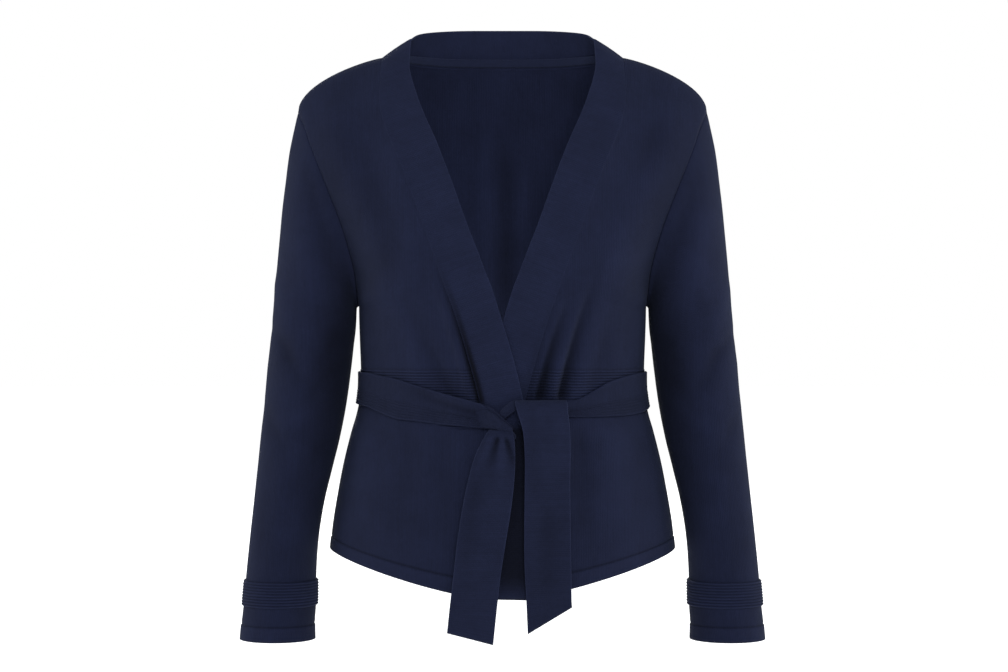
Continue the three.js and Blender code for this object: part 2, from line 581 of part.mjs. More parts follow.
function bandShape(side, laps) {
  const stations = [
    ...BAND_ROWS.map((z) => bandStation(FRONT, 'z', z, -1)),
    ...NECK_ROWS.map((along) => bandStation(NECK, 'along', along, 1)),
  ];
  const last = stations.length - 1;
  // At the shoulder the front's and the neck's rows share one turned face
  const shoulder = BAND_ROWS.length;
  const mean = stations[shoulder - 1].normal.clone().add(stations[shoulder + 1].normal).normalize();
  stations[shoulder].normal.copy(mean);
  const rows = (depth) => stations.map((frame, i) => BAND_STEPS.map((t) => {
    const width = frame.edge.distanceTo(frame.seam);
    const base = frame.seam.clone().add(frame.across.clone().multiplyScalar(t * width));
    const bulge = BAND_CROWN * 4 * t * (1 - t);
    base.add(frame.normal.clone().multiplyScalar(depth + bulge));
    if (laps && i < shoulder) base.y += lapShift(base.x, base.z);
    if (i === last) base.x = SEAM_GAP / 2;
    return base;
  }));
  return sheet(mirrored(rows(BAND_PROUD), side), mirrored(rows(BAND_PROUD - BAND_CLOTH), side));
}

// Neck tape: lies on the inside of the band's foot, round the back neck
function tapeShape() {
  const half = NECK_ROWS.slice(1).map((along) => along - 1);
  const stations = [...half, ...half.slice(0, -1).reverse().map((across) => -across)].map((across) => {
    const frame = bandStation(NECK, 'along', 1 - Math.abs(across), 1);
    const side = across < 0 ? -1 : 1;
    [frame.seam, frame.across, frame.normal].forEach((v) => { v.x *= side; });
    return frame;
  });
  const seat = BAND_CLOTH - BAND_PROUD + SEAM_GAP;
  const rows = (depth) => stations.map((frame) => TAPE_SPAN.map((height) => frame.seam.clone()
    .add(frame.across.clone().multiplyScalar(height))
    .sub(frame.normal.clone().multiplyScalar(depth))));
  return sheet(rows(seat), rows(seat + TAPE_CLOTH));
}

// Belt stretches lie on the body, moved out. top and bottom edges by place t along the front.
const BELT_RIGHT = [
  { t: 0, top: -336.6, bottom: -371.5 }, { t: 0.3, top: -337.2, bottom: -373.5 },
  { t: 0.45, top: -340, bottom: -379.3 }, { t: 0.58, top: -343.4, bottom: -385.3 },
  { t: 0.68, top: -348.4, bottom: -386.8 }, { t: 0.82, top: -356.3, bottom: -389.9 },
  { t: 0.94, top: -363.4, bottom: -392 }, { t: 1, top: -367, bottom: -392.8 },
  { t: 1.45, top: -380.5, bottom: -394.5 },
];
const BELT_LEFT = [
  { t: 0, top: -336.6, bottom: -374.5 }, { t: 0.29, top: -338, bottom: -380.3 },
  { t: 0.43, top: -340.6, bottom: -382.2 }, { t: 0.57, top: -346.5, bottom: -382.7 },
  { t: 0.65, top: -354, bottom: -382.7 }, { t: 0.76, top: -364.5, bottom: -382.5 },
  { t: 1, top: -370, bottom: -383 },
];
const BELT_BACK = [
  { t: -1, top: -336.6, bottom: -371.5 }, { t: -0.5, top: -337.5, bottom: -376 },
  { t: 0, top: -338, bottom: -379 }, { t: 0.5, top: -337.5, bottom: -377.5 },
  { t: 1, top: -336.6, bottom: -374.5 },
];

const SIDE_HALF_GAP = 0.2;
function beltStrip(surface, table, places) {
  const ribStep = (1 - BELT_RIBS_FROM) / (BELT_RIBS * 2);
  const shares = [0, 0.3, 0.5, ...upTo(BELT_RIBS * 2 - 1).map((k) => BELT_RIBS_FROM + ribStep * (k + 1))];
  const plain = [0, 0.5, 1];
  const rows = (list, depth, ribbed) => list.map((share, i) => places.map((t) => {
    const top = curve(table, 't', (row) => row.top, t);
    const bottom = curve(table, 't', (row) => row.bottom, t);
    const z = mix(top, bottom, share);
    const p = surface(t, z);
    const reach = 0.01;
    const ahead = surface(Math.min(table[table.length - 1].t, t + reach), z);
    const back = surface(Math.max(table[0].t, t - reach), z);
    const below = surface(t, z - 3);
    const along = ahead.sub(back);
    const normal = along.cross(below.sub(p)).normalize();
    if (normal.dot(vec(p.x, p.y, 0)) < 0) normal.negate();
    const rib = ribbed && i > 2 && i < list.length - 1 && i % 2 === 1 ? RIB_HEIGHT * 0.8 : 0;
    const out = p.clone().add(normal.multiplyScalar(depth + rib));
    if (Math.abs(p.y) === SIDE_HALF_GAP) out.y += Math.sign(p.y) * SIDE_HALF_GAP;
    return out;
  }));
  return [rows(shares, BELT_SEAT + BELT_CLOTH, true), rows(plain, BELT_SEAT, false)];
}

// Past the band seam (t over 1) the right stretch runs across the band into the knot.
const frontBeltSurface = (laps) => (t, z) => {
  const p = frontSurface(Math.min(1, t), z);
  if (laps) p.y += lapShift(p.x, p.z) * 0.4;
  else p.y = mix(p.y, BAND_FACE_Y, smooth(0.78, 1, t));
  p.x -= Math.max(0, t - 1) * BAND_WIDTH;
  if (t === 0) p.y = -SIDE_HALF_GAP;
  return p;
};
const backBeltSurface = (u, z) => {
  const p = backSurface(u, z);
  if (Math.abs(u) === 1) p.y = SIDE_HALF_GAP;
  return p;
};

function beltFront(side, table, laps, places) {
  const [outer, inner] = beltStrip(frontBeltSurface(laps), table, places);
  return sheet(mirrored(outer, side), mirrored(inner, side));
}

// Belt tails: station by station down the strip, with its two edges
const TAIL_OVER = [
  { z: -390, left: 16, right: 62, y: -115 }, { z: -377, left: 15, right: 64, y: -115.4 },
  { z: -369, left: 13.5, right: 65, y: -117.6 }, { z: -365.5, left: 13, right: 65.5, y: -122 },
  { z: -368.5, left: 13, right: 66, y: -127.4 }, { z: -376, left: 15, right: 66.5, y: -129.4 },
  { z: -395, left: 20.5, right: 68.5, y: -130 }, { z: -420, left: 22.5, right: 69, y: -130 },
  { z: -450, left: 22.5, right: 68.5, y: -130.4 }, { z: -490, left: 22, right: 69, y: -131 },
  { z: -530, left: 22.2, right: 69.5, y: -131.6 }, { z: -565, left: 24, right: 70, y: -131.8 },
];
const TAIL_OVER_END = { left: -600.5, right: -573.5 };
const TAIL_UNDER = [
  { z: -394.2, left: -14, right: 10, y: -122.5 }, { z: -400, left: -17.5, right: 11.5, y: -124 },
  { z: -408, left: -22, right: 12.5, y: -125.5 }, { z: -422, left: -28.5, right: 13, y: -127 },
  { z: -440, left: -33.5, right: 12.5, y: -128 }, { z: -470, left: -40, right: 9.5, y: -129.5 },
  { z: -505, left: -45.5, right: 4, y: -131 }, { z: -540, left: -49.5, right: -1.5, y: -132 },
  { z: -570, left: -53, right: -5, y: -132 },
];
const TAIL_UNDER_END = { left: -599.5, right: -611.5 };
const TAIL_COLUMNS = [0, 0.2, 0.4, 0.6, 0.8, 1];

// pleats: small waves across the strip, fading downwards
function tailShape(table, end, pleats) {
  const final = table[table.length - 1];
  const heightAt = (i, t) => {
    if (i < table.length) return table[i].z;
    return mix(end.left, end.right, t);
  };
  const base = upTo(table.length).map((i) => TAIL_COLUMNS.map((t) => {
    const row = table[Math.min(i, table.length - 1)];
    const drop = final.z - heightAt(i, t);
    const drift = i < table.length ? 0 : drop * (final.left - table[table.length - 2].left)
      / (table[table.length - 2].z - final.z) * 0.9;
    const wave = pleats.height * Math.cos(2 * Math.PI * pleats.count * t)
      * (1 - smooth(pleats.from, pleats.to, -row.z));
    return vec(mix(row.left, row.right, t) + drift, row.y - wave, heightAt(i, t));
  }));
  const normals = gridNormals(base, false);
  const offset = (amount) => base.map((row, i) => row.map((p, j) => p.clone()
    .add(normals[i][j].clone().multiplyScalar(amount))));
  return sheet(offset(BELT_CLOTH / 2), offset(-BELT_CLOTH / 2));
}

// Half knot: a soft roll that lies aslant over the crossing
const KNOT = [
  { at: [-25, -119.2, -368], wide: 4.5, deep: 2.4 }, { at: [-19, -120.4, -370.5], wide: 7.5, deep: 3.6 },
  { at: [-10, -122.6, -375.5], wide: 10.5, deep: 5.7 }, { at: [-1, -123.8, -381], wide: 11.5, deep: 6.8 },
  { at: [5.5, -123.4, -385.5], wide: 10, deep: 6.4 }, { at: [9.5, -122.5, -388.5], wide: 6, deep: 4 },
];
function knotShape() {
  const sides = 14;
  const rows = KNOT.map((row, k) => {
    const before = vec(...KNOT[Math.max(0, k - 1)].at);
    const after = vec(...KNOT[Math.min(KNOT.length - 1, k + 1)].at);
    const along = after.sub(before).normalize();
    const across = along.clone().cross(vec(0, -1, 0)).normalize();
    const out = across.clone().cross(along).normalize();
    return upTo(sides - 1).map((s) => {
      const angle = 2 * Math.PI * s / sides;
      return vec(...row.at).add(across.clone().multiplyScalar(row.wide * Math.cos(angle)))
        .add(out.clone().multiplyScalar(row.deep * Math.sin(angle)));
    });
  });
  const wall = new Wall();
  const skin = wall.grid(rows, true, false);
  [0, rows.length - 1].forEach((i) => {
    const centre = wall.points.push(vec(...KNOT[i].at)) - 1;
    for (let j = 0; j < sides; j += 1) {
      const face = [skin.at(i, j), skin.at(i, j + 1), centre];
      wall.faces.push(i === 0 ? face : face.reverse());
    }
  });
  return wall.geometry();
}

// Assembly
const cardigan = new THREE.Group();
function add(name, geometry, material = navyKnit()) {
  const mesh = new THREE.Mesh(geometry, material);
  mesh.name = name;
  cardigan.add(mesh);
}

const RIGHT = -1;
const LEFT = 1;

add('back', sheet(dressBack(outerRowHeights, true), dressBack(PLAIN_ROWS, false)));
add('front_right', frontPanel(RIGHT, FOLDS_RIGHT, false));
add('front_left', frontPanel(LEFT, FOLDS_LEFT, true));
add('sleeve_right', sleeveShape(RIGHT));
add('sleeve_left', sleeveShape(LEFT));
add('cuff_strap_right', strapShape(RIGHT));
add('cuff_strap_left', strapShape(LEFT));
add('band_right', bandShape(RIGHT, false));
add('band_left', bandShape(LEFT, true));
add('neck_tape', tapeShape(), navyTape());
add('belt_front_right', beltFront(RIGHT, BELT_RIGHT, false, [...FRONT_COLUMNS, 1.15, 1.3, 1.45]));
add('belt_front_left', beltFront(LEFT, BELT_LEFT, true, FRONT_COLUMNS.slice(0, -1)));
add('belt_back', sheet(...beltStrip(backBeltSurface, BELT_BACK, BACK_COLUMNS)));
add('belt_knot', knotShape());
add('belt_tail_over', tailShape(TAIL_OVER, TAIL_OVER_END, { height: 0, count: 1, from: 400, to: 420 }));
add('belt_tail_under', tailShape(TAIL_UNDER, TAIL_UNDER_END,
  { height: 1.6, count: 2.5, from: 396, to: 450 }));

export default cardigan;
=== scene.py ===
"""Fine-knit wrap cardigan with a tied self belt, filled out as if worn by nobody.

Sizes in the classes are millimetres and become metres where a mesh is made. +Z is up, the front
faces -Y, the wearer's right lies towards -X, and the origin is midway between the neck ends of
the two shoulder seams.
"""
import logging
import math
from collections.abc import Callable
from dataclasses import dataclass, field
from enum import Enum

import bmesh
import bpy
import numpy as np
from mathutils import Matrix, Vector


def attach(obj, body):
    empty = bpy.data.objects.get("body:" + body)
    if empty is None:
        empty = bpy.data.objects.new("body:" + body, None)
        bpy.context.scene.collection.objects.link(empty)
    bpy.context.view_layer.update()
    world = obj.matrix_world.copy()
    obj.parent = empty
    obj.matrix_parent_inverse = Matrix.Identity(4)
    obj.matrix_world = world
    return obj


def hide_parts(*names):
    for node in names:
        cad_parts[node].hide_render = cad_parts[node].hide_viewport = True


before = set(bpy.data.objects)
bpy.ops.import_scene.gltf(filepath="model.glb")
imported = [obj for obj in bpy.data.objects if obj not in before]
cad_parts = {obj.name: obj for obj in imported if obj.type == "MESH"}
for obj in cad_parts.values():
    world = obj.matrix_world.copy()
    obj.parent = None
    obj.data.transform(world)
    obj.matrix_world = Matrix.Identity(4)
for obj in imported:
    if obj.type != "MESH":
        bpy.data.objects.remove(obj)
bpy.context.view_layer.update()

MM = 0.001
WELD_DISTANCE = 0.00002  # metres
SLIVER = 0.000005  # metres
TAPER_ROWS = 4
STITCH_RISE = 0.9
STITCH_DEPTH = 0.5
STITCH_SHADE = 0.35
log = logging.getLogger("cardigan")
Table = tuple[tuple[float, ...], ...]
Surface = Callable[[np.ndarray, np.ndarray], np.ndarray]


class Side(Enum):
    """A side of the wearer, with the sign of its x."""

    RIGHT = -1
    LEFT = 1

    @property
    def word(self) -> str:
        """The side as it stands in a piece's name."""
        return self.name.lower()


class Panel(Enum):
    """A panel of the body, with its row in the table of rib ends."""

    FRONT_RIGHT = 0
    FRONT_LEFT = 1
    BACK = 2


def mix(a: np.ndarray, b: np.ndarray, share: np.ndarray) -> np.ndarray:
    """Blend two values.

    Args:
        a: value at share 0.
        b: value at share 1.
        share: where between them.

    Returns:
        The blended value.
    """
    return a + (b - a) * share


def smooth(low: float, high: float, value: np.ndarray) -> np.ndarray:
    """Soft step from 0 at low to 1 at high.

    Args:
        low: where the step starts.
        high: where it ends, which may be below low.
        value: numbers to look up.

    Returns:
        The step's height at each number.
    """
    t = np.clip((value - low) / (high - low), 0.0, 1.0)
    return t * t * (3.0 - 2.0 * t)


def bell(distance: np.ndarray, width: float = 1.0) -> np.ndarray:
    """A bump of height 1 at distance 0 that dies out to both sides over a width."""
    return np.exp(-((distance / width) ** 2))


def round_edge(gap: np.ndarray, radius: float) -> np.ndarray:
    """Share of the full thickness at a gap from a rounded edge, which is whole past the radius."""
    return np.sqrt(np.clip(1.0 - (1.0 - np.clip(gap / radius, 0.0, 1.0)) ** 2, 0.0, 1.0))


def hem_step(z: np.ndarray, top: float) -> np.ndarray:
    """1 on a turned hem and 0 over its top."""
    return smooth(top + 0.4, top - 0.6, z)


def stitch_line(z: np.ndarray, top: float) -> np.ndarray:
    """1 on the stitch line at a hem's top, dying out above and below it."""
    return bell(z - top - STITCH_RISE, STITCH_RISE)


def follow(keys: np.ndarray, values: np.ndarray, where: np.ndarray) -> np.ndarray:
    """Smooth curve through rows of values.

    Args:
        keys: one running number per row, rising or falling.
        values: the rows, of any shape after the first axis.
        where: places along the keys.

    Returns:
        The values there, with where's shape first.
    """
    sign = np.sign(keys[-1] - keys[0])
    last = len(keys) - 1
    before = np.maximum(np.arange(last + 1) - 1, 0)
    after = np.minimum(np.arange(last + 1) + 1, last)
    tail = (1,) * (values.ndim - 1)
    slopes = (values[after] - values[before]) / (keys[after] - keys[before]).reshape((-1, *tail))
    where = np.asarray(where, float)
    i = np.searchsorted(keys[1:-1] * sign, where * sign, side="left")
    span = (keys[i + 1] - keys[i]).reshape((*where.shape, *tail))
    t = np.clip((where - keys[i]).reshape(span.shape) / span, 0.0, 1.0)
    t2, t3 = t * t, t * t * t
    return (
        (2 * t3 - 3 * t2 + 1) * values[i]
        + (t3 - 2 * t2 + t) * span * slopes[i]
        + (3 * t2 - 2 * t3) * values[i + 1]
        + (t3 - t2) * span * slopes[i + 1]
    )


def track(table: Table, where: np.ndarray) -> np.ndarray:
    """Smooth curve through a table whose first column is the key.

    Args:
        table: rows of key and values.
        where: places along the key.

    Returns:
        The other columns there, on the last axis.
    """
    rows = np.array(table, float)
    return follow(rows[:, 0], rows[:, 1:], where)


def unit(vectors: np.ndarray) -> np.ndarray:
    """Vectors of length one, on the last axis."""
    return vectors / np.maximum(np.linalg.norm(vectors, axis=-1, keepdims=True), 1e-9)


def grid_normals(points: np.ndarray, wraps: bool = False) -> np.ndarray:
    """Unit normals of a grid of points.

    Args:
        points: rows, columns and x, y, z.
        wraps: whether the first and last column are the same line.

    Returns:
        One normal for each point.
    """
    down = np.gradient(points, axis=0)
    if wraps:
        wide = np.concatenate([points[:, -2:-1], points, points[:, 1:2]], axis=1)
        across = (wide[:, 2:] - wide[:, :-2]) / 2
    else:
        across = np.gradient(points, axis=1)
    return unit(np.cross(down, across))


def run_across(points: np.ndarray) -> np.ndarray:
    """Length along each row, from its first point."""
    steps = np.linalg.norm(np.diff(points, axis=1), axis=-1)
    return np.concatenate([np.zeros((len(points), 1)), np.cumsum(steps, axis=1)], axis=1)


def run_down(points: np.ndarray) -> np.ndarray:
    """Length down each column, from its first point."""
    return run_across(points.transpose(1, 0, 2)).T


def run_along(line: np.ndarray) -> np.ndarray:
    """Length along a line of points, from its first."""
    gaps = np.linalg.norm(np.diff(line, axis=0), axis=-1)
    return np.concatenate([[0.0], np.cumsum(gaps)])


def from_sides(lengths: np.ndarray) -> np.ndarray:
    """Distance from the nearer end of each row of lengths."""
    return np.minimum(lengths, lengths[:, -1:] - lengths)


def mirrored(points: np.ndarray, sign: float) -> np.ndarray:
    """Points with x times a sign."""
    return points * np.array([sign, 1.0, 1.0])


def steps(*stretches: tuple[float, float, int]) -> np.ndarray:
    """Places for rows or columns.

    Args:
        stretches: start, end and number of steps of each stretch, end to end.

    Returns:
        All places, with no place twice.
    """
    parts = [np.linspace(a, b, n + 1)[:-1] for a, b, n in stretches]
    return np.concatenate([*parts, [stretches[-1][1]]])


@dataclass(frozen=True)
class Crease:
    """A soft fold, as a line seen from the front. A trough has a positive depth, a ridge a negative one.

    Attributes:
        start: x outwards and z of its upper end.
        end: x outwards and z of its lower end.
        depth: depth at the two ends.
        width: half width at the two ends.
        bend: how far its middle bows sideways.
        fade: share of its length over which it dies out at each end.
        skew: how much steeper one flank is, from -0.8 to 0.8.
    """

    start: tuple[float, float]
    end: tuple[float, float]
    depth: tuple[float, float]
    width: tuple[float, float] = (8.0, 8.0)
    bend: float = 0.0
    fade: tuple[float, float] = (0.2, 0.2)
    skew: float = 0.0

    def lift(self, x: np.ndarray, z: np.ndarray) -> np.ndarray:
        """Height over the plain cloth.

        Args:
            x: distance outwards of each point.
            z: height of each point.

        Returns:
            The fold's height there, below zero in a trough.
        """
        dx, dz = self.end[0] - self.start[0], self.end[1] - self.start[1]
        length = math.hypot(dx, dz)
        along = ((x - self.start[0]) * dx + (z - self.start[1]) * dz) / length**2
        inside = np.clip(along, 0.0, 1.0)
        aside = ((x - self.start[0]) * dz - (z - self.start[1]) * dx) / length
        aside = aside - 4.0 * self.bend * inside * (1.0 - inside)
        width = mix(self.width[0], self.width[1], inside)
        width = width * (1.0 + self.skew * np.tanh(aside / width))
        ends = smooth(-self.fade[0], self.fade[0], along)
        ends = ends * (1.0 - smooth(1.0 - self.fade[1], 1.0 + self.fade[1], along))
        return -mix(self.depth[0], self.depth[1], inside) * ends * bell(aside, width)


def relief(creases: tuple[Crease, ...], x: np.ndarray, z: np.ndarray) -> np.ndarray:
    """Height of several folds together.

    Args:
        creases: the folds.
        x: distance outwards of each point.
        z: height of each point.

    Returns:
        Their summed height.
    """
    total = np.zeros_like(x)
    for crease in creases:
        total += crease.lift(x, z)
    return total


# Finishes


class Graph:
    """Short calls for building one node tree."""

    def __init__(self, tree: bpy.types.NodeTree) -> None:
        """Keep the tree that the calls add to."""
        self.tree = tree

    def add(self, kind: str, **sockets: object) -> bpy.types.Node:
        """Add a node.

        Args:
            kind: the node's type name.
            sockets: input names, with _ for a space, and a value or an output socket for each.

        Returns:
            The node.
        """
        node = self.tree.nodes.new(kind)
        for name, value in sockets.items():
            self.feed(node.inputs[name.replace("_", " ")], value)
        return node

    def feed(self, socket: bpy.types.NodeSocket, value: object) -> None:
        """Fill an input.

        Args:
            socket: the input.
            value: a value for it, or the output socket that is linked to it.
        """
        if isinstance(value, bpy.types.NodeSocket):
            self.tree.links.new(value, socket)
        else:
            socket.default_value = value

    def math(self, operation: str, *values: object) -> bpy.types.NodeSocket:
        """Add a Math node.

        Args:
            operation: its operation.
            values: its inputs, as numbers or sockets.

        Returns:
            Its result.
        """
        node = self.tree.nodes.new("ShaderNodeMath")
        node.operation = operation
        for socket, value in zip(node.inputs, values):
            self.feed(socket, value)
        return node.outputs[0]

    def spread(self, value: object, low: float, high: float) -> bpy.types.NodeSocket:
        """Stretch a number from 0 to 1 onto low to high."""
        return self.math("MULTIPLY_ADD", value, high - low, low)

    def noise(self, where: bpy.types.NodeSocket, scale: float, detail: float) -> bpy.types.NodeSocket:
        """Noise at a place.

        Args:
            where: the place.
            scale: how many grains go in a metre.
            detail: how many finer layers it has.

        Returns:
            A number round a half.
        """
        node = self.add("ShaderNodeTexNoise", Vector=where, Scale=scale, Detail=detail, Roughness=0.6)
        return node.outputs["Fac"]


@dataclass(frozen=True)
class KnitFinish:
    """A fine jersey of dyed cotton, whose wales follow the piece's own cloth map.

    Attributes:
        name: the material's name.
        colour: the yarn's colour.
        wale: width of one column of stitches.
        course: height of one row of stitches.
        groove: how deep the columns look.
        sheen: how much light the fuzz catches.
        mottle: how uneven the dye is.
        streak: how uneven one column looks beside the next.
        roughness: how matt the yarn is.
    """

    WAVER_SCALE = 60.0
    FUZZ_SCALE = 1100.0
    PATCH_SCALE = 26.0
    FLECK_SCALE = 240.0
    STREAK_SCALE = (420.0, 16.0, 1.0)
    FUZZ_HEIGHT = 0.35
    STITCH_SLANT = 1.6
    FLECK_LIGHT = (0.86, 1.14)
    # Painted shade in the stitch grooves and painted highlight on the stitch tops.
    STITCH_PAINTED_LIGHT = (0.86, 1.10)
    BUMP = 0.7
    UNEVEN_GLOSS = 0.12
    SPECULAR = 0.06
    FUZZ_ROUGHNESS = 0.55
    FUZZ_TINT = (0.42, 0.52, 0.86, 1.0)

    name: str
    colour: tuple[float, float, float] = (0.0069, 0.0093, 0.0252)
    wale: float = 1.9
    course: float = 1.4
    groove: float = 0.22
    sheen: float = 0.03
    mottle: float = 0.25
    streak: float = 0.18
    roughness: float = 0.86

    def stitches(self, graph: Graph, lengths: bpy.types.NodeSocket,
                 place: bpy.types.NodeSocket) -> bpy.types.NodeSocket:
        """Make the relief of knit columns and slanted stitches.

        Args:
            graph: the material's nodes.
            lengths: lengths on the flat cloth.
            place: place on the garment.

        Returns:
            The relief.
        """
        apart = graph.add("ShaderNodeSeparateXYZ", Vector=lengths)
        wales = graph.math("MULTIPLY", apart.outputs["X"], 1000.0 / self.wale)
        courses = graph.math("MULTIPLY", apart.outputs["Y"], 1000.0 / self.course)
        waver = graph.noise(place, self.WAVER_SCALE, 1.0)
        wales = graph.math("ADD", wales, graph.spread(waver, -0.5, 0.5))
        column = graph.math("COSINE", graph.math("MULTIPLY", wales, 2.0 * math.pi))
        column = graph.spread(column, 0.5, 0.0)
        column = graph.math("SUBTRACT", 1.0, column)
        leg = graph.math("PINGPONG", wales, 0.5)
        slant = graph.math("ADD", courses, graph.math("MULTIPLY", leg, self.STITCH_SLANT))
        stitch = graph.math("SINE", graph.math("MULTIPLY", slant, 2.0 * math.pi))
        stitch = graph.spread(stitch, 0.5, 1.0)
        return graph.math("MULTIPLY", column, stitch)

    def dye(self, graph: Graph, lengths: bpy.types.NodeSocket,
            place: bpy.types.NodeSocket) -> bpy.types.NodeSocket:
        """Make the uneven dye: soft patches, fine flecks and drawn streaks.

        Args:
            graph: the material's nodes.
            lengths: lengths on the flat cloth.
            place: place on the garment.

        Returns:
            How light the yarn is.
        """
        patch = graph.noise(place, self.PATCH_SCALE, 3.0)
        fleck = graph.noise(place, self.FLECK_SCALE, 2.0)
        light = graph.spread(patch, 1.0 - self.mottle, 1.0 + self.mottle)
        light = graph.math("MULTIPLY", light, graph.spread(fleck, *self.FLECK_LIGHT))
        drawn = graph.tree.nodes.new("ShaderNodeVectorMath")
        drawn.operation = "MULTIPLY"
        drawn.inputs[1].default_value = self.STREAK_SCALE
        graph.feed(drawn.inputs[0], lengths)
        uneven = graph.noise(drawn.outputs[0], 1.0, 2.0)
        return graph.math("MULTIPLY", light, graph.spread(uneven, 1.0 - self.streak, 1.0 + self.streak))

    def make(self) -> bpy.types.Material:
        """Build the material.

        Returns:
            The knit, with its stitches, fuzz, uneven dye and the painted shade and highlight carried by its
            tone.
        """
        material = bpy.data.materials.new(self.name)
        material.use_nodes = True
        tree = material.node_tree
        tree.nodes.clear()
        graph = Graph(tree)
        place = graph.add("ShaderNodeTexCoord").outputs["Object"]
        cloth = tree.nodes.new("ShaderNodeUVMap")
        cloth.uv_map = "cloth"
        lengths = cloth.outputs["UV"]
        fuzz = graph.noise(place, self.FUZZ_SCALE, 3.0)
        height = self.stitches(graph, lengths, place)
        height = graph.math("ADD", height, graph.spread(fuzz, -self.FUZZ_HEIGHT, self.FUZZ_HEIGHT))
        light = self.dye(graph, lengths, place)
        # Painted shade and highlight of the stitches: darker where the stitch relief and fuzz are low,
        # lighter where high.
        light = graph.math("MULTIPLY", light, graph.spread(height, *self.STITCH_PAINTED_LIGHT))
        # The tone attribute brings in painted shade and painted highlight of folds, ribs and edges, besides
        # real hem and seam differences.
        tone = tree.nodes.new("ShaderNodeAttribute")
        tone.attribute_name = "tone"
        light = graph.math("MULTIPLY", light, tone.outputs["Fac"])
        yarn = tree.nodes.new("ShaderNodeVectorMath")
        yarn.operation = "SCALE"
        yarn.inputs[0].default_value = self.colour
        graph.feed(yarn.inputs["Scale"], light)
        bump = graph.add("ShaderNodeBump", Strength=self.BUMP, Distance=self.groove * MM, Height=height)
        coarse = graph.spread(fuzz, self.roughness - self.UNEVEN_GLOSS, self.roughness + self.UNEVEN_GLOSS)
        shader = graph.add("ShaderNodeBsdfPrincipled", Base_Color=yarn.outputs[0],
                           Roughness=coarse, Normal=bump.outputs[0])
        shader.inputs["Specular IOR Level"].default_value = self.SPECULAR
        shader.inputs["Sheen Weight"].default_value = self.sheen
        shader.inputs["Sheen Roughness"].default_value = self.FUZZ_ROUGHNESS
        shader.inputs["Sheen Tint"].default_value = self.FUZZ_TINT
        out = tree.nodes.new("ShaderNodeOutputMaterial")
        tree.links.new(shader.outputs[0], out.inputs["Surface"])
        material.diffuse_color = (*self.colour, 1.0)
        return material


class Finish(Enum):
    """The cardigan's finishes, with the record's slot of each as its value."""

    BODY = "body_knit"
    BAND = "band_knit"
    STRAP = "strap_rib"
    BELT = "belt_knit"
    TAPE = "neck_tape"


FINISHES = {
    Finish.BODY: KnitFinish("body knit"),
    Finish.BAND: KnitFinish("band knit", colour=(0.0080, 0.0107, 0.0284), wale=2.1, groove=0.26),
    Finish.STRAP: KnitFinish("strap rib", wale=1.7, groove=0.2, mottle=0.1),
    Finish.BELT: KnitFinish("belt knit", colour=(0.0072, 0.0096, 0.0252), wale=2.1, groove=0.24),
    Finish.TAPE: KnitFinish("neck tape", wale=1.2, course=1.2, groove=0.15, sheen=0.2, mottle=0.05),
}


class Wardrobe:
    """Makes each finish once and hands it out."""

    def __init__(self) -> None:
        """Start with no material made."""
        self.made: dict[Finish, bpy.types.Material] = {}

    def material(self, finish: Finish) -> bpy.types.Material:
        """Hand out a finish's material, which is made the first time.

        Args:
            finish: the finish.

        Returns:
            Its material.
        """
        if finish not in self.made:
            self.made[finish] = FINISHES[finish].make()
        return self.made[finish]


# Cloth


@dataclass
class Cloth:
    """A piece of cloth as a grid of points in millimetres, rows down and columns across.

    Attributes:
        name: the piece's name.
        points: rows, columns and x, y, z.
        lay: rows, columns and the two lengths on the flat cloth, wales across first.
        finish: the finish.
        tone: how much lighter than its yarn each point looks, holding painted shade and highlight of folds,
            ribs and edges besides real hem and seam differences.
    """

    name: str
    points: np.ndarray
    lay: np.ndarray
    finish: Finish
    tone: np.ndarray | None = None

    @staticmethod
    def turn_outward(bm: bmesh.types.BMesh, core: tuple[float, float]) -> None:
        """Turn the faces over when most of their area faces an upright line.

        Args:
            bm: the mesh.
            core: x and y of the line.
        """
        facing = 0.0
        for face in bm.faces:
            middle = face.calc_center_median()
            out = Vector((middle.x - core[0] * MM, middle.y - core[1] * MM, 0.0))
            facing += face.normal.dot(out.normalized()) * face.calc_area()
        if facing < 0.0:
            bmesh.ops.reverse_faces(bm, faces=bm.faces)

    def object(self, wardrobe: Wardrobe, core: tuple[float, float], weld: bool = False,
               thickness: float = 0.0) -> bpy.types.Object:
        """Make the mesh and its object.

        Args:
            wardrobe: where its material comes from.
            core: x and y of an upright line that the outside faces away from.
            weld: whether edges that meet are joined.
            thickness: wall added on the inside.

        Returns:
            The finished object.
        """
        rows, columns = self.points.shape[:2]
        tone = np.ones((rows, columns)) if self.tone is None else self.tone
        bm = bmesh.new()
        cloth_map = bm.loops.layers.uv.new("cloth")
        tone_layer = bm.verts.layers.float.new("tone")
        bmesh.ops.create_grid(bm, x_segments=columns - 1, y_segments=rows - 1, size=1.0)
        places = (self.points.reshape(-1, 3) * MM).tolist()
        lay = (self.lay.reshape(-1, 2) * MM).tolist()
        for vert, place, light in zip(bm.verts, places, tone.ravel().tolist()):
            vert.co = place
            vert[tone_layer] = light
        for face in bm.faces:
            for loop in face.loops:
                loop[cloth_map].uv = lay[loop.vert.index]
            face.smooth = True
        if weld:
            bmesh.ops.remove_doubles(bm, verts=bm.verts, dist=WELD_DISTANCE)
            bmesh.ops.dissolve_degenerate(bm, edges=bm.edges, dist=SLIVER)
        bm.normal_update()
        if weld and all(edge.is_manifold for edge in bm.edges):
            bmesh.ops.recalc_face_normals(bm, faces=bm.faces)
        else:
            self.turn_outward(bm, core)
        mesh = bpy.data.meshes.new(self.name)
        bm.to_mesh(mesh)
        bm.free()
        mesh.materials.append(wardrobe.material(self.finish))
        piece = bpy.data.objects.new(self.name, mesh)
        bpy.context.scene.collection.objects.link(piece)
        if thickness:
            wall = piece.modifiers.new("wall", "SOLIDIFY")
            wall.thickness = thickness * MM
            wall.offset = -1.0
            wall.use_even_offset = False
        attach(piece, "root")
        log.info("%s: %d faces", self.name, len(mesh.polygons))
        return piece


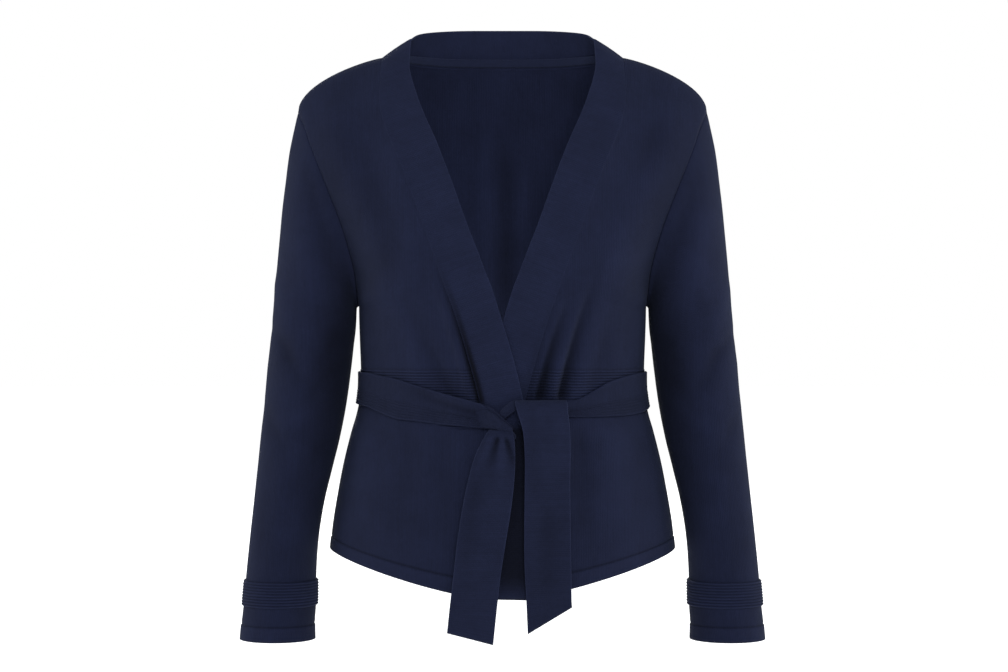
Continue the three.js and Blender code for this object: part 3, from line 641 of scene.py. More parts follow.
@dataclass
class Strip:
    """Middle surface of a narrow strip.

    Attributes:
        across: even places of its columns, from 0 to 1.
        points: rows, columns and x, y, z.
        normals: the outward direction at each point.
    """

    across: np.ndarray
    points: np.ndarray
    normals: np.ndarray


def rounded_strip(frames: Strip, thickness: float,
                  ends: tuple[bool, bool]) -> tuple[np.ndarray, np.ndarray]:
    """Closed flat tube along a strip, with soft folds as its two long edges.

    Args:
        frames: the strip's middle surface.
        thickness: how thick the doubled cloth is.
        ends: whether the first and the last end taper shut.

    Returns:
        The tube's points, and its lengths along and round.
    """
    half = thickness / 2
    near = half * (1.0 - np.cos(np.linspace(0.0, math.pi / 2, 5)))
    columns = len(frames.across)
    width = np.linalg.norm(frames.points[:, -1] - frames.points[:, 0], axis=-1).mean()
    places = frames.across * width
    inner = places[(places > half * 1.3) & (places < width - half * 1.3)]
    spots = np.concatenate([near, inner, width - near[::-1]])
    gap = np.minimum(spots, width - spots)
    swell = half * round_edge(gap, half)
    share = spots / width
    middle = follow(np.linspace(0.0, 1.0, columns), frames.points.transpose(1, 0, 2), share)
    normal = follow(np.linspace(0.0, 1.0, columns), frames.normals.transpose(1, 0, 2), share)
    middle, normal = middle.transpose(1, 0, 2), unit(normal.transpose(1, 0, 2))
    rows = len(middle)
    shut = np.ones(rows)
    ramp = round_edge(np.arange(TAPER_ROWS), TAPER_ROWS - 1.0)
    if ends[0]:
        shut[:TAPER_ROWS] = ramp
    if ends[1]:
        shut[-TAPER_ROWS:] = ramp[::-1]
    out = normal * (swell[None, :] * shut[:, None])[..., None]
    points = np.concatenate([middle + out, (middle - out)[:, ::-1][:, 1:]], axis=1)
    around = np.concatenate([spots, 2 * width - spots[::-1][1:]])
    lay = np.stack([np.broadcast_to(run_down(middle)[:, :1], points.shape[:2]),
                    np.broadcast_to(around, points.shape[:2])], axis=-1)
    return points, lay


def painted_edge_highlight(lay: np.ndarray, gain: float = 0.3) -> np.ndarray:
    """Painted highlight along the folded edges of a strip.

    Args:
        lay: the strip's lengths along and round.
        gain: how much lighter the edges are.

    Returns:
        How light each point looks.
    """
    width = lay[:, -1:, 1] / 2
    away = np.abs((lay[..., 1] + width / 2) % width - width / 2)
    return 1.0 + gain * bell(away)


# Form of the body


@dataclass(frozen=True)
class BodyForm:
    """The garment's form as smooth tables, with x counted outwards.

    Attributes:
        outer_edge: height, half width down the armhole and the side seam.
        front_rows: height, band seam x, y, z, free edge x, y, z, two angles, bow and ease.
        back_rows: height, centre back y and z, angle, bow, ease, pull of the neckline.
        neck_rows: share from shoulder to centre back, band seam x, y, z, free edge x, y, z.
        armhole_top: height of the armhole's top.
        armhole_bottom: height of the underarm.
        armhole_depth_half: half depth of the armhole.
        neck_share: share of the half back that the neckline takes.
        lap: how far the left front lies behind the right one.
        hem: height of the hem at the side seam.
        cloth: thickness of body and sleeves.
    """

    outer_edge: Table = (
        (-60, 219.8), (-76, 211), (-96, 203.5), (-116, 195.5), (-147, 183), (-175, 172),
        (-198, 164.5), (-229, 156.8), (-250, 154.8), (-267, 154.2), (-299, 153.2), (-331, 152),
        (-352, 152), (-368, 153.6), (-384, 157), (-400, 161.8), (-432, 169.9), (-464, 176.3),
        (-496, 181.7), (-525, 185),
    )
    front_rows: Table = (
        (-60, 129, 0, 0, 99, 7, 21, 0, 0, 1.2, 2),
        (-64, 129, -15, -7, 99, -8, 10, 6, 4, 1.2, 1.9),
        (-75, 129, -34, -26, 98.5, -26, -14, 16, 8, 1.18, 1.72),
        (-96, 128, -57, -57, 90, -46, -44, 34, 12, 1.14, 1.46),
        (-120, 120, -73, -85, 80.5, -60, -69, 46, 15, 1.08, 1.24),
        (-147, 108.5, -87, -112, 68.5, -75, -96, 53, 17, 1.02, 1.06),
        (-175, 93.5, -100, -151, 53.5, -90, -135, 57, 17, 1, 1),
        (-205, 76, -111, -199, 36, -104, -184, 60, 16, 1, 1),
        (-229, 66, -115, -226, 25.5, -110, -211, 66, 14, 1, 1),
        (-250, 58, -117, -249, 17, -113.5, -234, 76, 12, 1, 1),
        (-267, 51.5, -117, -266, 10.5, -115, -250.5, 88, 11, 1, 1),
        (-300, 40.5, -115, -300, -0.5, -115, -286, 90, 10, 1, 1),
        (-330, 32, -112.5, -330, -10, -114, -318, 90, 9, 1, 1),
        (-352, 26, -111, -352, -16.5, -112.5, -343, 90, 8, 1, 1),
        (-370, 22, -111, -370, -21, -112, -363.5, 90, 8, 1, 1),
        (-400, 18, -112.5, -400, -25.5, -113, -397, 90, 7, 1, 1),
        (-430, 16.5, -115.5, -435, -27.5, -116, -434, 89, 6, 1.3, 1),
        (-480, 16, -121.5, -501, -28, -122, -501, 88, 5, 1.3, 1),
        (-525, 16, -126.5, -566, -28, -127, -567, 88, 5, 1.3, 1),
    )
    back_rows: Table = (
        (-60, 66, -5, 30, 1.3, 1.3, 1), (-64, 69.5, -13, 34, 1.3, 1.3, 0.74),
        (-75, 76, -28, 40, 1.3, 1.3, 0.44), (-96, 85, -54, 46, 1.25, 1.25, 0.2),
        (-120, 93, -84, 50, 1.15, 1.15, 0.07), (-147, 99.5, -120, 54, 1.05, 1.05, 0),
        (-175, 103, -158, 57, 1, 1, 0), (-205, 104, -197, 60, 1, 1, 0),
        (-229, 102.5, -226, 66, 1, 1, 0), (-250, 99.5, -249, 76, 1, 1, 0),
        (-267, 97, -267, 88, 1, 1, 0), (-300, 90, -300, 90, 1, 1, 0),
        (-330, 83.5, -330, 90, 1, 1, 0), (-352, 81, -352, 90, 1, 1, 0),
        (-370, 80.5, -370, 90, 1, 1, 0), (-400, 83, -400, 90, 1, 1, 0),
        (-430, 88.5, -434, 89, 1.3, 1, 0), (-480, 98, -495, 88, 1.3, 1, 0),
        (-525, 105, -556, 88, 1.3, 1, 0),
    )
    neck_rows: Table = (
        (0, 129, 0, 0, 99, 7, 21), (0.33, 108, 33, -2.5, 88, 30, 30.5),
        (0.66, 62, 57, -5, 53, 53, 36.5), (1, 0, 66, -5, 0, 61, 38),
    )
    armhole_top: float = -60.0
    armhole_bottom: float = -267.0
    armhole_depth_half: float = 52.0
    neck_share: float = 0.5
    lap: float = 4.6
    hem: float = -525.0
    cloth: float = 1.6

    def outer(self, z: np.ndarray, face: float) -> np.ndarray:
        """Points of the armhole and side seam.

        Args:
            z: their heights.
            face: -1 on the front, 1 on the back.

        Returns:
            The points.
        """
        middle = (self.armhole_top + self.armhole_bottom) / 2
        half = (self.armhole_top - self.armhole_bottom) / 2
        round_it = np.sqrt(np.clip(1.0 - ((z - middle) / half) ** 2, 0.0, 1.0))
        depth = np.where(z > self.armhole_bottom, self.armhole_depth_half * round_it, 0.0)
        return np.stack([track(self.outer_edge, z)[..., 0], face * depth, z], axis=-1)

    @staticmethod
    def row(outer: np.ndarray, inner: np.ndarray, angles: tuple[np.ndarray, np.ndarray],
            climb: tuple[np.ndarray, np.ndarray], t: np.ndarray, face: float) -> np.ndarray:
        """Points of a row of cloth between its outer edge and its seam.

        Args:
            outer: its point at t 0.
            inner: its point at t 1.
            angles: the cross-section's angles at the two ends, in degrees.
            climb: bow and ease of the way it climbs.
            t: place along it.
            face: -1 on the front, 1 on the back.

        Returns:
            The points.
        """
        dx = outer[..., 0] - inner[..., 0]
        dy = np.abs(inner[..., 1] - outer[..., 1])
        a, b = np.radians(angles[0]), np.radians(angles[1])
        reach_out = 0.55 * (dx * np.cos(a) + dy * np.sin(a))
        reach_in = 0.55 * (dx * np.cos(b) + dy * np.sin(b))
        s = 1.0 - t
        weights = (s * s * s, 3 * s * s * t, 3 * s * t * t, t * t * t)
        ox, oy, ix, iy = outer[..., 0], outer[..., 1], inner[..., 0], inner[..., 1]
        xs = (ox, ox - reach_out * np.cos(a), ix + reach_in * np.cos(b), ix)
        ys = (oy, oy + face * reach_out * np.sin(a), iy - face * reach_in * np.sin(b), iy)
        x = sum(w * v for w, v in zip(weights, xs))
        y = sum(w * v for w, v in zip(weights, ys))
        share = np.clip((ox - x) / dx, 0.0, 1.0)
        rise = (1.0 - (1.0 - share) ** climb[0]) ** (1.0 / climb[1])
        return np.stack([x, y, mix(outer[..., 2], inner[..., 2], rise)], axis=-1)

    def front(self, t: np.ndarray, z: np.ndarray) -> np.ndarray:
        """Front surface: t runs from the outer edge to the band seam.

        Args:
            t: place across, from 0 to 1.
            z: height of the row's outer edge.

        Returns:
            The points.
        """
        t, z = np.broadcast_arrays(np.asarray(t, float), np.asarray(z, float))
        row = track(self.front_rows, z)
        return self.row(self.outer(z, -1.0), row[..., 0:3], (row[..., 6], row[..., 7]),
                        (row[..., 8], row[..., 9]), t, -1.0)

    def plain_back(self, across: np.ndarray, z: np.ndarray) -> np.ndarray:
        """Back surface without the cut neckline.

        Args:
            across: place from the centre back (0) to the outer edge (1).
            z: height of the row's outer edge.

        Returns:
            The points, with x counted outwards.
        """
        row = track(self.back_rows, z)
        level = np.zeros_like(z)
        centre = np.stack([level, row[..., 0], row[..., 1]], axis=-1)
        return self.row(self.outer(z, 1.0), centre, (row[..., 2], level),
                        (row[..., 3], row[..., 4]), 1.0 - across, 1.0)

    def back(self, u: np.ndarray, z: np.ndarray) -> np.ndarray:
        """Back surface: u runs from the right outer edge (-1) to the left one (1).

        Args:
            u: place across.
            z: height of the row's outer edge.

        Returns:
            The points, with x towards the wearer's left.
        """
        u, z = np.broadcast_arrays(np.asarray(u, float), np.asarray(z, float))
        across = np.abs(u)
        base = self.plain_back(across, z)
        top = self.plain_back(across, np.full_like(z, self.armhole_top))
        pull = track(self.back_rows, z)[..., 5]
        neck = track(self.neck_rows, np.clip(1.0 - across / self.neck_share, 0.0, 1.0))[..., 0:3]
        shoulder = self.front(np.clip((1.0 - across) / (1.0 - self.neck_share), 0.0, 1.0),
                              np.full_like(z, self.armhole_top))
        cut = np.where((across <= self.neck_share)[..., None], neck, shoulder)
        base = base + (cut - top) * np.clip(pull, 0.0, 1.0)[..., None]
        base[..., 0] *= np.where(u < 0, -1.0, 1.0)
        return base

    def lap_shift(self, x: np.ndarray, z: np.ndarray) -> np.ndarray:
        """How far back the left front lies where the two fronts cross."""
        return self.lap * (1.0 - smooth(24.0, 62.0, x)) * smooth(-262.0, -305.0, z)


@dataclass(frozen=True)
class WaistRib:
    """The ribbed waist and the turned hem, which front and back share.

    Attributes:
        top: height of the first rib.
        bottom: height under the last rib.
        pitch: one rib and its groove.
        height: how far a rib stands up.
        hem_top: height of the hem's stitch line.
        hem_extra: how far the turned hem stands proud.
        rib_light: how much lighter a rib looks than its groove, as painted highlight.
        groove_shade: how much darker a groove looks than plain cloth, as painted shade.
        hem_light: how much lighter the turned hem looks.
        ends: for right front, left front and back, the last rib's height at the middle and at the
            side, and the x between which it changes.
    """

    ends: Table = ((-396, -370, 40, 150), (-383.5, -371, 108, 150), (-378, -370, 60, 150))
    top: float = -334.0
    bottom: float = -394.0
    pitch: float = 3.0
    height: float = 0.75
    hem_top: float = -513.5
    hem_extra: float = 0.55
    rib_light: float = 0.78
    groove_shade: float = 0.46
    hem_light: float = 0.12

    def rows(self, hem: float) -> np.ndarray:
        """Heights of the cloth's rows, close together in the ribs and at the hem.

        Args:
            hem: height of the last row.

        Returns:
            The heights, from the shoulder down.
        """
        return steps((-60, -61.5, 4), (-61.5, -66, 5), (-66, -74, 5), (-74, -86, 6),
                     (-86, self.top, 84), (self.top, self.bottom, 120),
                     (self.bottom, self.hem_top + 3, 40), (self.hem_top + 3, self.hem_top - 3, 16),
                     (self.hem_top - 3, hem, 6))

    def inside(self, z: np.ndarray) -> np.ndarray:
        """Whether a height is among the ribs."""
        return (z <= self.top) & (z >= self.bottom)

    def wave(self, z: np.ndarray) -> np.ndarray:
        """The ribs from 0 in a groove to 1 on a rib, and 0 elsewhere."""
        ribs = 0.5 - 0.5 * np.cos(2 * math.pi * (self.top - z) / self.pitch)
        return np.where(self.inside(z), ribs, 0.0)

    def shown(self, panel: Panel, x: np.ndarray, z: np.ndarray) -> np.ndarray:
        """Share of the ribs that is left, which end under the belt's lower edge.

        Args:
            panel: which panel.
            x: distance from the middle of each point.
            z: height of each point's row.

        Returns:
            The share at each point.
        """
        middle, side, near, far = self.ends[panel.value]
        last = mix(middle, side, smooth(near, far, np.abs(x)))
        return smooth(0.0, 4.0, z - last) * smooth(2.0, -2.0, z - self.top)

    def lift(self, panel: Panel, x: np.ndarray, z: np.ndarray) -> np.ndarray:
        """Relief of ribs, hem and stitch line.

        Args:
            panel: which panel.
            x: distance from the middle of each point.
            z: height of each point's row.

        Returns:
            The height over the plain cloth.
        """
        hem = self.hem_extra * hem_step(z, self.hem_top)
        stitch = STITCH_DEPTH * stitch_line(z, self.hem_top)
        return self.height * self.wave(z) * self.shown(panel, x, z) + hem - stitch

    def tone(self, panel: Panel, x: np.ndarray, z: np.ndarray) -> np.ndarray:
        """Painted highlight on the ribs and painted shade in their grooves, with a lighter hem and darker
        stitch line.

        Args:
            panel: which panel.
            x: distance from the middle of each point.
            z: height of each point's row.

        Returns:
            How light each point looks.
        """
        # Painted highlight on the ribs and painted shade in their grooves.
        light = np.where(self.inside(z), self.rib_light * self.wave(z) - self.groove_shade, 0.0)
        hem = self.hem_light * hem_step(z, self.hem_top)
        stitch = STITCH_SHADE * stitch_line(z, self.hem_top)
        return 1.0 + light * self.shown(panel, x, z) + hem - stitch


def seam_roll(distance: np.ndarray, depth: float = 0.22, width: float = 2.0) -> np.ndarray:
    """How the cloth dips towards a seam.

    Args:
        distance: distance from the seam.
        depth: dip at the seam.
        width: how far it reaches.

    Returns:
        The height, below zero at the seam.
    """
    return -depth * bell(distance, width)


def painted_fold_shade(lift: np.ndarray, gain: float = 0.12, low: float = -5.0, high: float = 2.0) -> np.ndarray:
    """Painted shade in troughs and painted highlight on ridges.

    Args:
        lift: height of the folds over the plain cloth.
        gain: how much lighter the cloth looks for each millimetre.
        low: depth past which a trough gets no darker.
        high: height past which a ridge gets no lighter.

    Returns:
        How light the cloth looks at each point.
    """
    return 1.0 + gain * np.clip(lift, low, high)


@dataclass(frozen=True)
class PaintedLightPatch:
    """A stretch of cloth with painted light or painted shade, lighter or darker than the rest.

    Attributes:
        gain: how much lighter its middle is, below zero where it is darker.
        reach: how far it spreads to either side.
        start: heights over which it sets in, from none to whole.
        stop: heights over which it sets in from its other end.
    """

    gain: float
    reach: float
    start: tuple[float, float]
    stop: tuple[float, float] | None = None

    def tone(self, aside: np.ndarray, z: np.ndarray) -> np.ndarray:
        """How light the cloth looks.

        Args:
            aside: distance of each point from the patch's middle line.
            z: height of each point.

        Returns:
            The factor at each point.
        """
        share = bell(aside, self.reach) * smooth(*self.start, z)
        if self.stop is not None:
            share = share * smooth(*self.stop, z)
        return 1.0 + self.gain * share


@dataclass(frozen=True)
class SeamFold:
    """The fold that the tied waist pulls along a band seam.

    Attributes:
        dip: how far the cloth sinks at the seam.
        ridge: how far it swells beside it.
        shade: how dark the fold's painted shade is.
        dip_width: how far the dip reaches.
        ridge_from: distance of the ridge's top from the seam.
        ridge_width: how far the ridge reaches to either side.
        shade_from: distance of the darkest line of painted shade from the seam.
        shade_width: how far the painted shade reaches to either side.
    """

    dip: float
    ridge: float
    shade: float
    dip_width: float = 3.4
    ridge_from: float = 9.0
    ridge_width: float = 5.0
    shade_from: float = 1.7
    shade_width: float = 2.8

    def strength(self, z: np.ndarray) -> np.ndarray:
        """Share of the fold at a height: it grows down to the belt."""
        return smooth(-205.0, -335.0, z) * smooth(-374.0, -364.0, z)

    def lift(self, near: np.ndarray, z: np.ndarray) -> np.ndarray:
        """Height over the plain cloth at a distance from the seam."""
        ridge = self.ridge * bell(near - self.ridge_from, self.ridge_width)
        return self.strength(z) * (ridge - self.dip * bell(near, self.dip_width))

    def tone(self, near: np.ndarray, z: np.ndarray) -> np.ndarray:
        """Painted shade of the fold at a distance from the seam."""
        return 1.0 - self.shade * self.strength(z) * bell(near - self.shade_from, self.shade_width)


# The third value of each is the painted shade along the band seam.
SEAM_FOLDS = {Side.RIGHT: SeamFold(2.8, 2.8, 0.9), Side.LEFT: SeamFold(0.5, 0.6, 0.15)}


@dataclass
class Body:
    """Back and fronts.

    Attributes:
        form: the garment's form.
        wardrobe: where the material comes from.
        rib: the ribbed waist and the hem.
        front_columns: columns of points across a front.
        back_columns: columns of points across the back, an odd number.
        front_fade: how far from a front's sides its folds die out.
        back_fade: how far from the back's sides its folds die out.
        shoulder_zone: height above which the cloth may face up more than outwards.
        shoulder_share: how much facing up counts there.
        shoulder_dip: dip at the shoulder seam.
        side_seam_shade: how dark the side seam looks.
        side_seam_width: how wide the dark of the side seam is.
        seen_inside: heights between which the back stops showing its inside, where the painted shade
            and painted highlight of a fold change places.
        beside_sleeve: painted shade on the front's side beside the sleeve.
        back_top: painted light on the top of the back.
        back_middle: painted shade on the middle of the back.
        folds_right: creases of the right front.
        folds_left: creases of the left front.
        folds_back: creases of the back.
    """

    form: BodyForm
    wardrobe: Wardrobe
    rib: WaistRib = field(default_factory=WaistRib)
    front_columns: int = 117
    back_columns: int = 161
    front_fade: float = 4.0
    back_fade: float = 5.0
    shoulder_zone: float = -66.0
    shoulder_share: float = 0.6
    shoulder_dip: float = 0.1
    side_seam_shade: float = 0.2
    side_seam_width: float = 1.2
    seen_inside: tuple[float, float] = (-320.0, -345.0)
    # Painted shade on the front's side beside the sleeve.
    beside_sleeve: PaintedLightPatch = PaintedLightPatch(-0.28, 34.0, (-60.0, -160.0), (-400.0, -340.0))
    # Painted light on the back's top and painted shade on its middle.
    back_top: PaintedLightPatch = PaintedLightPatch(0.12, 90.0, (-200.0, -110.0))
    back_middle: PaintedLightPatch = PaintedLightPatch(-0.22, 60.0, (-170.0, -240.0), (-352.0, -320.0))
    folds_right: tuple[Crease, ...] = (
        Crease((96, -262), (50, -366), (0.2, 2.4), (8, 7)),
        Crease((116, -52), (90, -90), (1.1, 0.6), (5, 7), fade=(0.2, 0.5)),
        Crease((148, -96), (116, -236), (0.8, 1.4), (15, 18), bend=5),
        Crease((120, -110), (92, -220), (-0.7, -0.9), (14, 14), bend=3),
        Crease((140, -226), (126, -334), (1.2, 0.7), (11, 10), bend=-4),
        Crease((112, -262), (84, -346), (-0.6, -1.2), (9, 9)),
        Crease((96, -398), (112, -520), (1.3, 0.5), (13, 22), bend=3, fade=(0.1, 0.4)),
        Crease((60, -398), (66, -500), (1.0, 0.4), (9, 16), fade=(0.1, 0.4)),
        Crease((138, -402), (150, -500), (-1.2, -0.4), (14, 20), fade=(0.1, 0.4)),
    )
    folds_left: tuple[Crease, ...] = (
        Crease((67, -264), (37, -364), (0.8, 7.4), (5, 4.2), bend=2, fade=(0.2, 0.06), skew=-0.3),
        Crease((94, -242), (59.5, -364), (0.5, 6.8), (5.6, 4.6), bend=2, fade=(0.2, 0.06), skew=-0.3),
        Crease((80, -258), (48, -362), (-0.5, -2.0), (6, 5), fade=(0.3, 0.12)),
        Crease((124, -250), (92, -350), (0.3, 1.5), (11, 10), fade=(0.3, 0.2)),
        Crease((108, -268), (78, -356), (-0.3, -1.3), (9, 8), fade=(0.3, 0.15)),
        Crease((164, -78), (138, -150), (1.0, 0.6), (9, 12), bend=2, fade=(0.25, 0.4)),
        Crease((118, -72), (112, -108), (0.9, 0.4), (6, 9), fade=(0.3, 0.5)),
        Crease((148, -120), (104, -232), (-0.9, -0.8), (15, 15), bend=-5),
        Crease((140, -236), (132, -330), (1.0, 0.6), (10, 10), bend=3),
        Crease((78, -396), (90, -540), (1.7, 0.7), (11, 16), bend=2, fade=(0.08, 0.35)),
        Crease((112, -398), (126, -520), (-1.3, -0.5), (16, 24), fade=(0.1, 0.4)),
        Crease((146, -400), (156, -480), (0.9, 0.3), (9, 14), fade=(0.1, 0.4)),
    )
    folds_back: tuple[Crease, ...] = (
        Crease((-19, -80), (-15, -262), (2.6, 2.6), (9, 10), bend=2, fade=(0.25, 0.2)),
        Crease((4, -96), (3, -270), (-2.4, -2.2), (9, 10), bend=-1, fade=(0.25, 0.2)),
        Crease((26, -110), (22, -250), (1.3, 1.6), (9, 9), fade=(0.3, 0.3)),
        Crease((-62, -120), (-50, -300), (1.4, 2.2), (16, 13), bend=-4),
        Crease((70, -150), (52, -344), (0.8, 2.8), (14, 9), bend=4, fade=(0.3, 0.1)),
        Crease((28, -262), (24, -350), (-0.8, -2.2), (10, 7), fade=(0.3, 0.1)),
        Crease((-30, -270), (-26, -350), (0.9, 2.6), (10, 7), fade=(0.3, 0.1)),
        Crease((-92, -250), (-76, -350), (0.5, 2.0), (12, 9), fade=(0.3, 0.1)),
        Crease((106, -262), (94, -350), (0.5, 1.8), (11, 9), fade=(0.3, 0.1)),
        Crease((-122, -90), (-96, -200), (-1.1, -1.0), (18, 18)),
        Crease((128, -84), (104, -190), (-1.2, -0.9), (17, 18)),
        Crease((-40, -398), (-52, -530), (2.2, 0.8), (9, 18), fade=(0.08, 0.4)),
        Crease((8, -398), (10, -520), (-1.6, -0.7), (10, 20), fade=(0.08, 0.4)),
        Crease((54, -398), (66, -530), (2.0, 0.8), (9, 18), fade=(0.08, 0.4)),
        Crease((-96, -398), (-112, -520), (1.3, 0.5), (12, 20), fade=(0.1, 0.4)),
        Crease((104, -398), (118, -510), (-1.2, -0.4), (13, 20), fade=(0.1, 0.4)),
    )

    def outward(self, base: np.ndarray, z: np.ndarray, face: float) -> np.ndarray:
        """Normals of a panel that face away from the wearer.

        Args:
            base: the panel's points without folds.
            z: height of each row, as a column.
            face: -1 on the front, 1 on the back.

        Returns:
            A normal for each point.
        """
        normals = grid_normals(base)
        up = self.shoulder_share * normals[..., 2:3] * (z[..., None] > self.shoulder_zone)
        return normals * np.sign(face * normals[..., 1:2] + up)

    @staticmethod
    def edge_fade(across: np.ndarray, width: float) -> np.ndarray:
        """Share of a fold that is left near a panel's two sides.

        Args:
            across: length along each row.
            width: how far from a side the fold is whole.

        Returns:
            The share at each point.
        """
        left = smooth(0.0, width, across)
        return left * smooth(0.0, width, across[:, -1:] - across)

    def front_points(self, side: Side) -> tuple[np.ndarray, np.ndarray, np.ndarray]:
        """Work out one front, with x counted outwards.

        Args:
            side: which front.

        Returns:
            Its points, its lengths on the flat cloth and its tone.
        """
        z = self.rib.rows(self.form.hem)[:, None]
        t = np.linspace(0.0, 1.0, self.front_columns)[None, :]
        base = self.form.front(t, z)
        across, down = run_across(base), run_down(base)
        near = across[:, -1:] - across
        folds = self.folds_right if side is Side.RIGHT else self.folds_left
        x, height_z = base[..., 0].copy(), base[..., 2].copy()
        lift = relief(folds, x, height_z) * self.edge_fade(across, self.front_fade)
        if side is Side.LEFT:
            base[..., 1] += self.form.lap_shift(base[..., 0], base[..., 2])
        normals = self.outward(base, z, -1.0)
        row = np.broadcast_to(z, across.shape)
        panel = Panel[f"FRONT_{side.name}"]
        height = lift + self.rib.lift(panel, x, row) + seam_roll(across)
        height += seam_roll(down, self.shoulder_dip)
        height += SEAM_FOLDS[side].lift(near, height_z)
        points = base + normals * height[..., None]
        lay = np.stack([base[:, -1:, 0] + near, base[:1, :, 2] - down], axis=-1)
        # Painted shade in the fold troughs and along the band seam, painted highlight on ridges and ribs.
        tone = self.rib.tone(panel, x, row) * painted_fold_shade(lift) * SEAM_FOLDS[side].tone(near, height_z)
        seam = bell(across, self.side_seam_width) * (row < self.form.armhole_bottom)
        tone *= 1.0 - self.side_seam_shade * seam
        # Painted shade on the side beside the sleeve.
        tone *= self.beside_sleeve.tone(across, row)
        return points, lay, tone

    def build(self) -> None:
        """Make the back and both fronts."""
        for side in Side:
            points, lay, tone = self.front_points(side)
            points = mirrored(points, side.value)
            name = f"front_{side.word}_knit"
            cloth = Cloth(name, points, lay, Finish.BODY, tone)
            piece = cloth.object(self.wardrobe, (0.0, 0.0), thickness=self.form.cloth)
            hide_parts(f"front_{side.word}")
        self.build_back()

    def build_back(self) -> None:
        """Make the back."""
        z = self.rib.rows(self.form.hem)[:, None]
        u = np.linspace(-1.0, 1.0, self.back_columns)[None, :]
        base = self.form.back(u, z)
        across, down = run_across(base), run_down(base)
        folds = relief(self.folds_back, base[..., 0], base[..., 2])
        lift = folds * self.edge_fade(across, self.back_fade)
        normals = self.outward(base, z, 1.0)
        row = np.broadcast_to(z, across.shape)
        x = base[..., 0]
        height = lift + self.rib.lift(Panel.BACK, x, row) + seam_roll(across)
        height += seam_roll(across[:, -1:] - across)
        points = base + normals * height[..., None]
        middle = across - across[:, self.back_columns // 2][:, None]
        lay = np.stack([middle, base[:1, :, 2] - down], axis=-1)
        # Above these heights the folds' painted shade and highlight are turned over to suit the inside.
        inside_out = 2.0 * smooth(*self.seen_inside, row) - 1.0
        tone = self.rib.tone(Panel.BACK, x, row) * painted_fold_shade(lift * inside_out)
        # Painted light on the back's top and painted shade on its middle.
        tone *= self.back_top.tone(x, row) * self.back_middle.tone(x, row)
        cloth = Cloth("back_knit", points, lay, Finish.BODY, tone)
        piece = cloth.object(self.wardrobe, (0.0, 0.0), thickness=self.form.cloth)
        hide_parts("back")


@dataclass(frozen=True)
class FoldShift:
    """How the folds of one sleeve are moved, so that the two sleeves differ.

    Attributes:
        front: x and z by which the front folds are looked up further on.
        back: the same for the back folds.
        strength: how deep the front folds are.
    """

    front: tuple[float, float] = (0.0, 0.0)
    back: tuple[float, float] = (0.0, 0.0)
    strength: float = 1.0


FOLD_SHIFTS = {Side.RIGHT: FoldShift(), Side.LEFT: FoldShift((4.0, 9.0), (-3.0, -8.0), 0.9)}


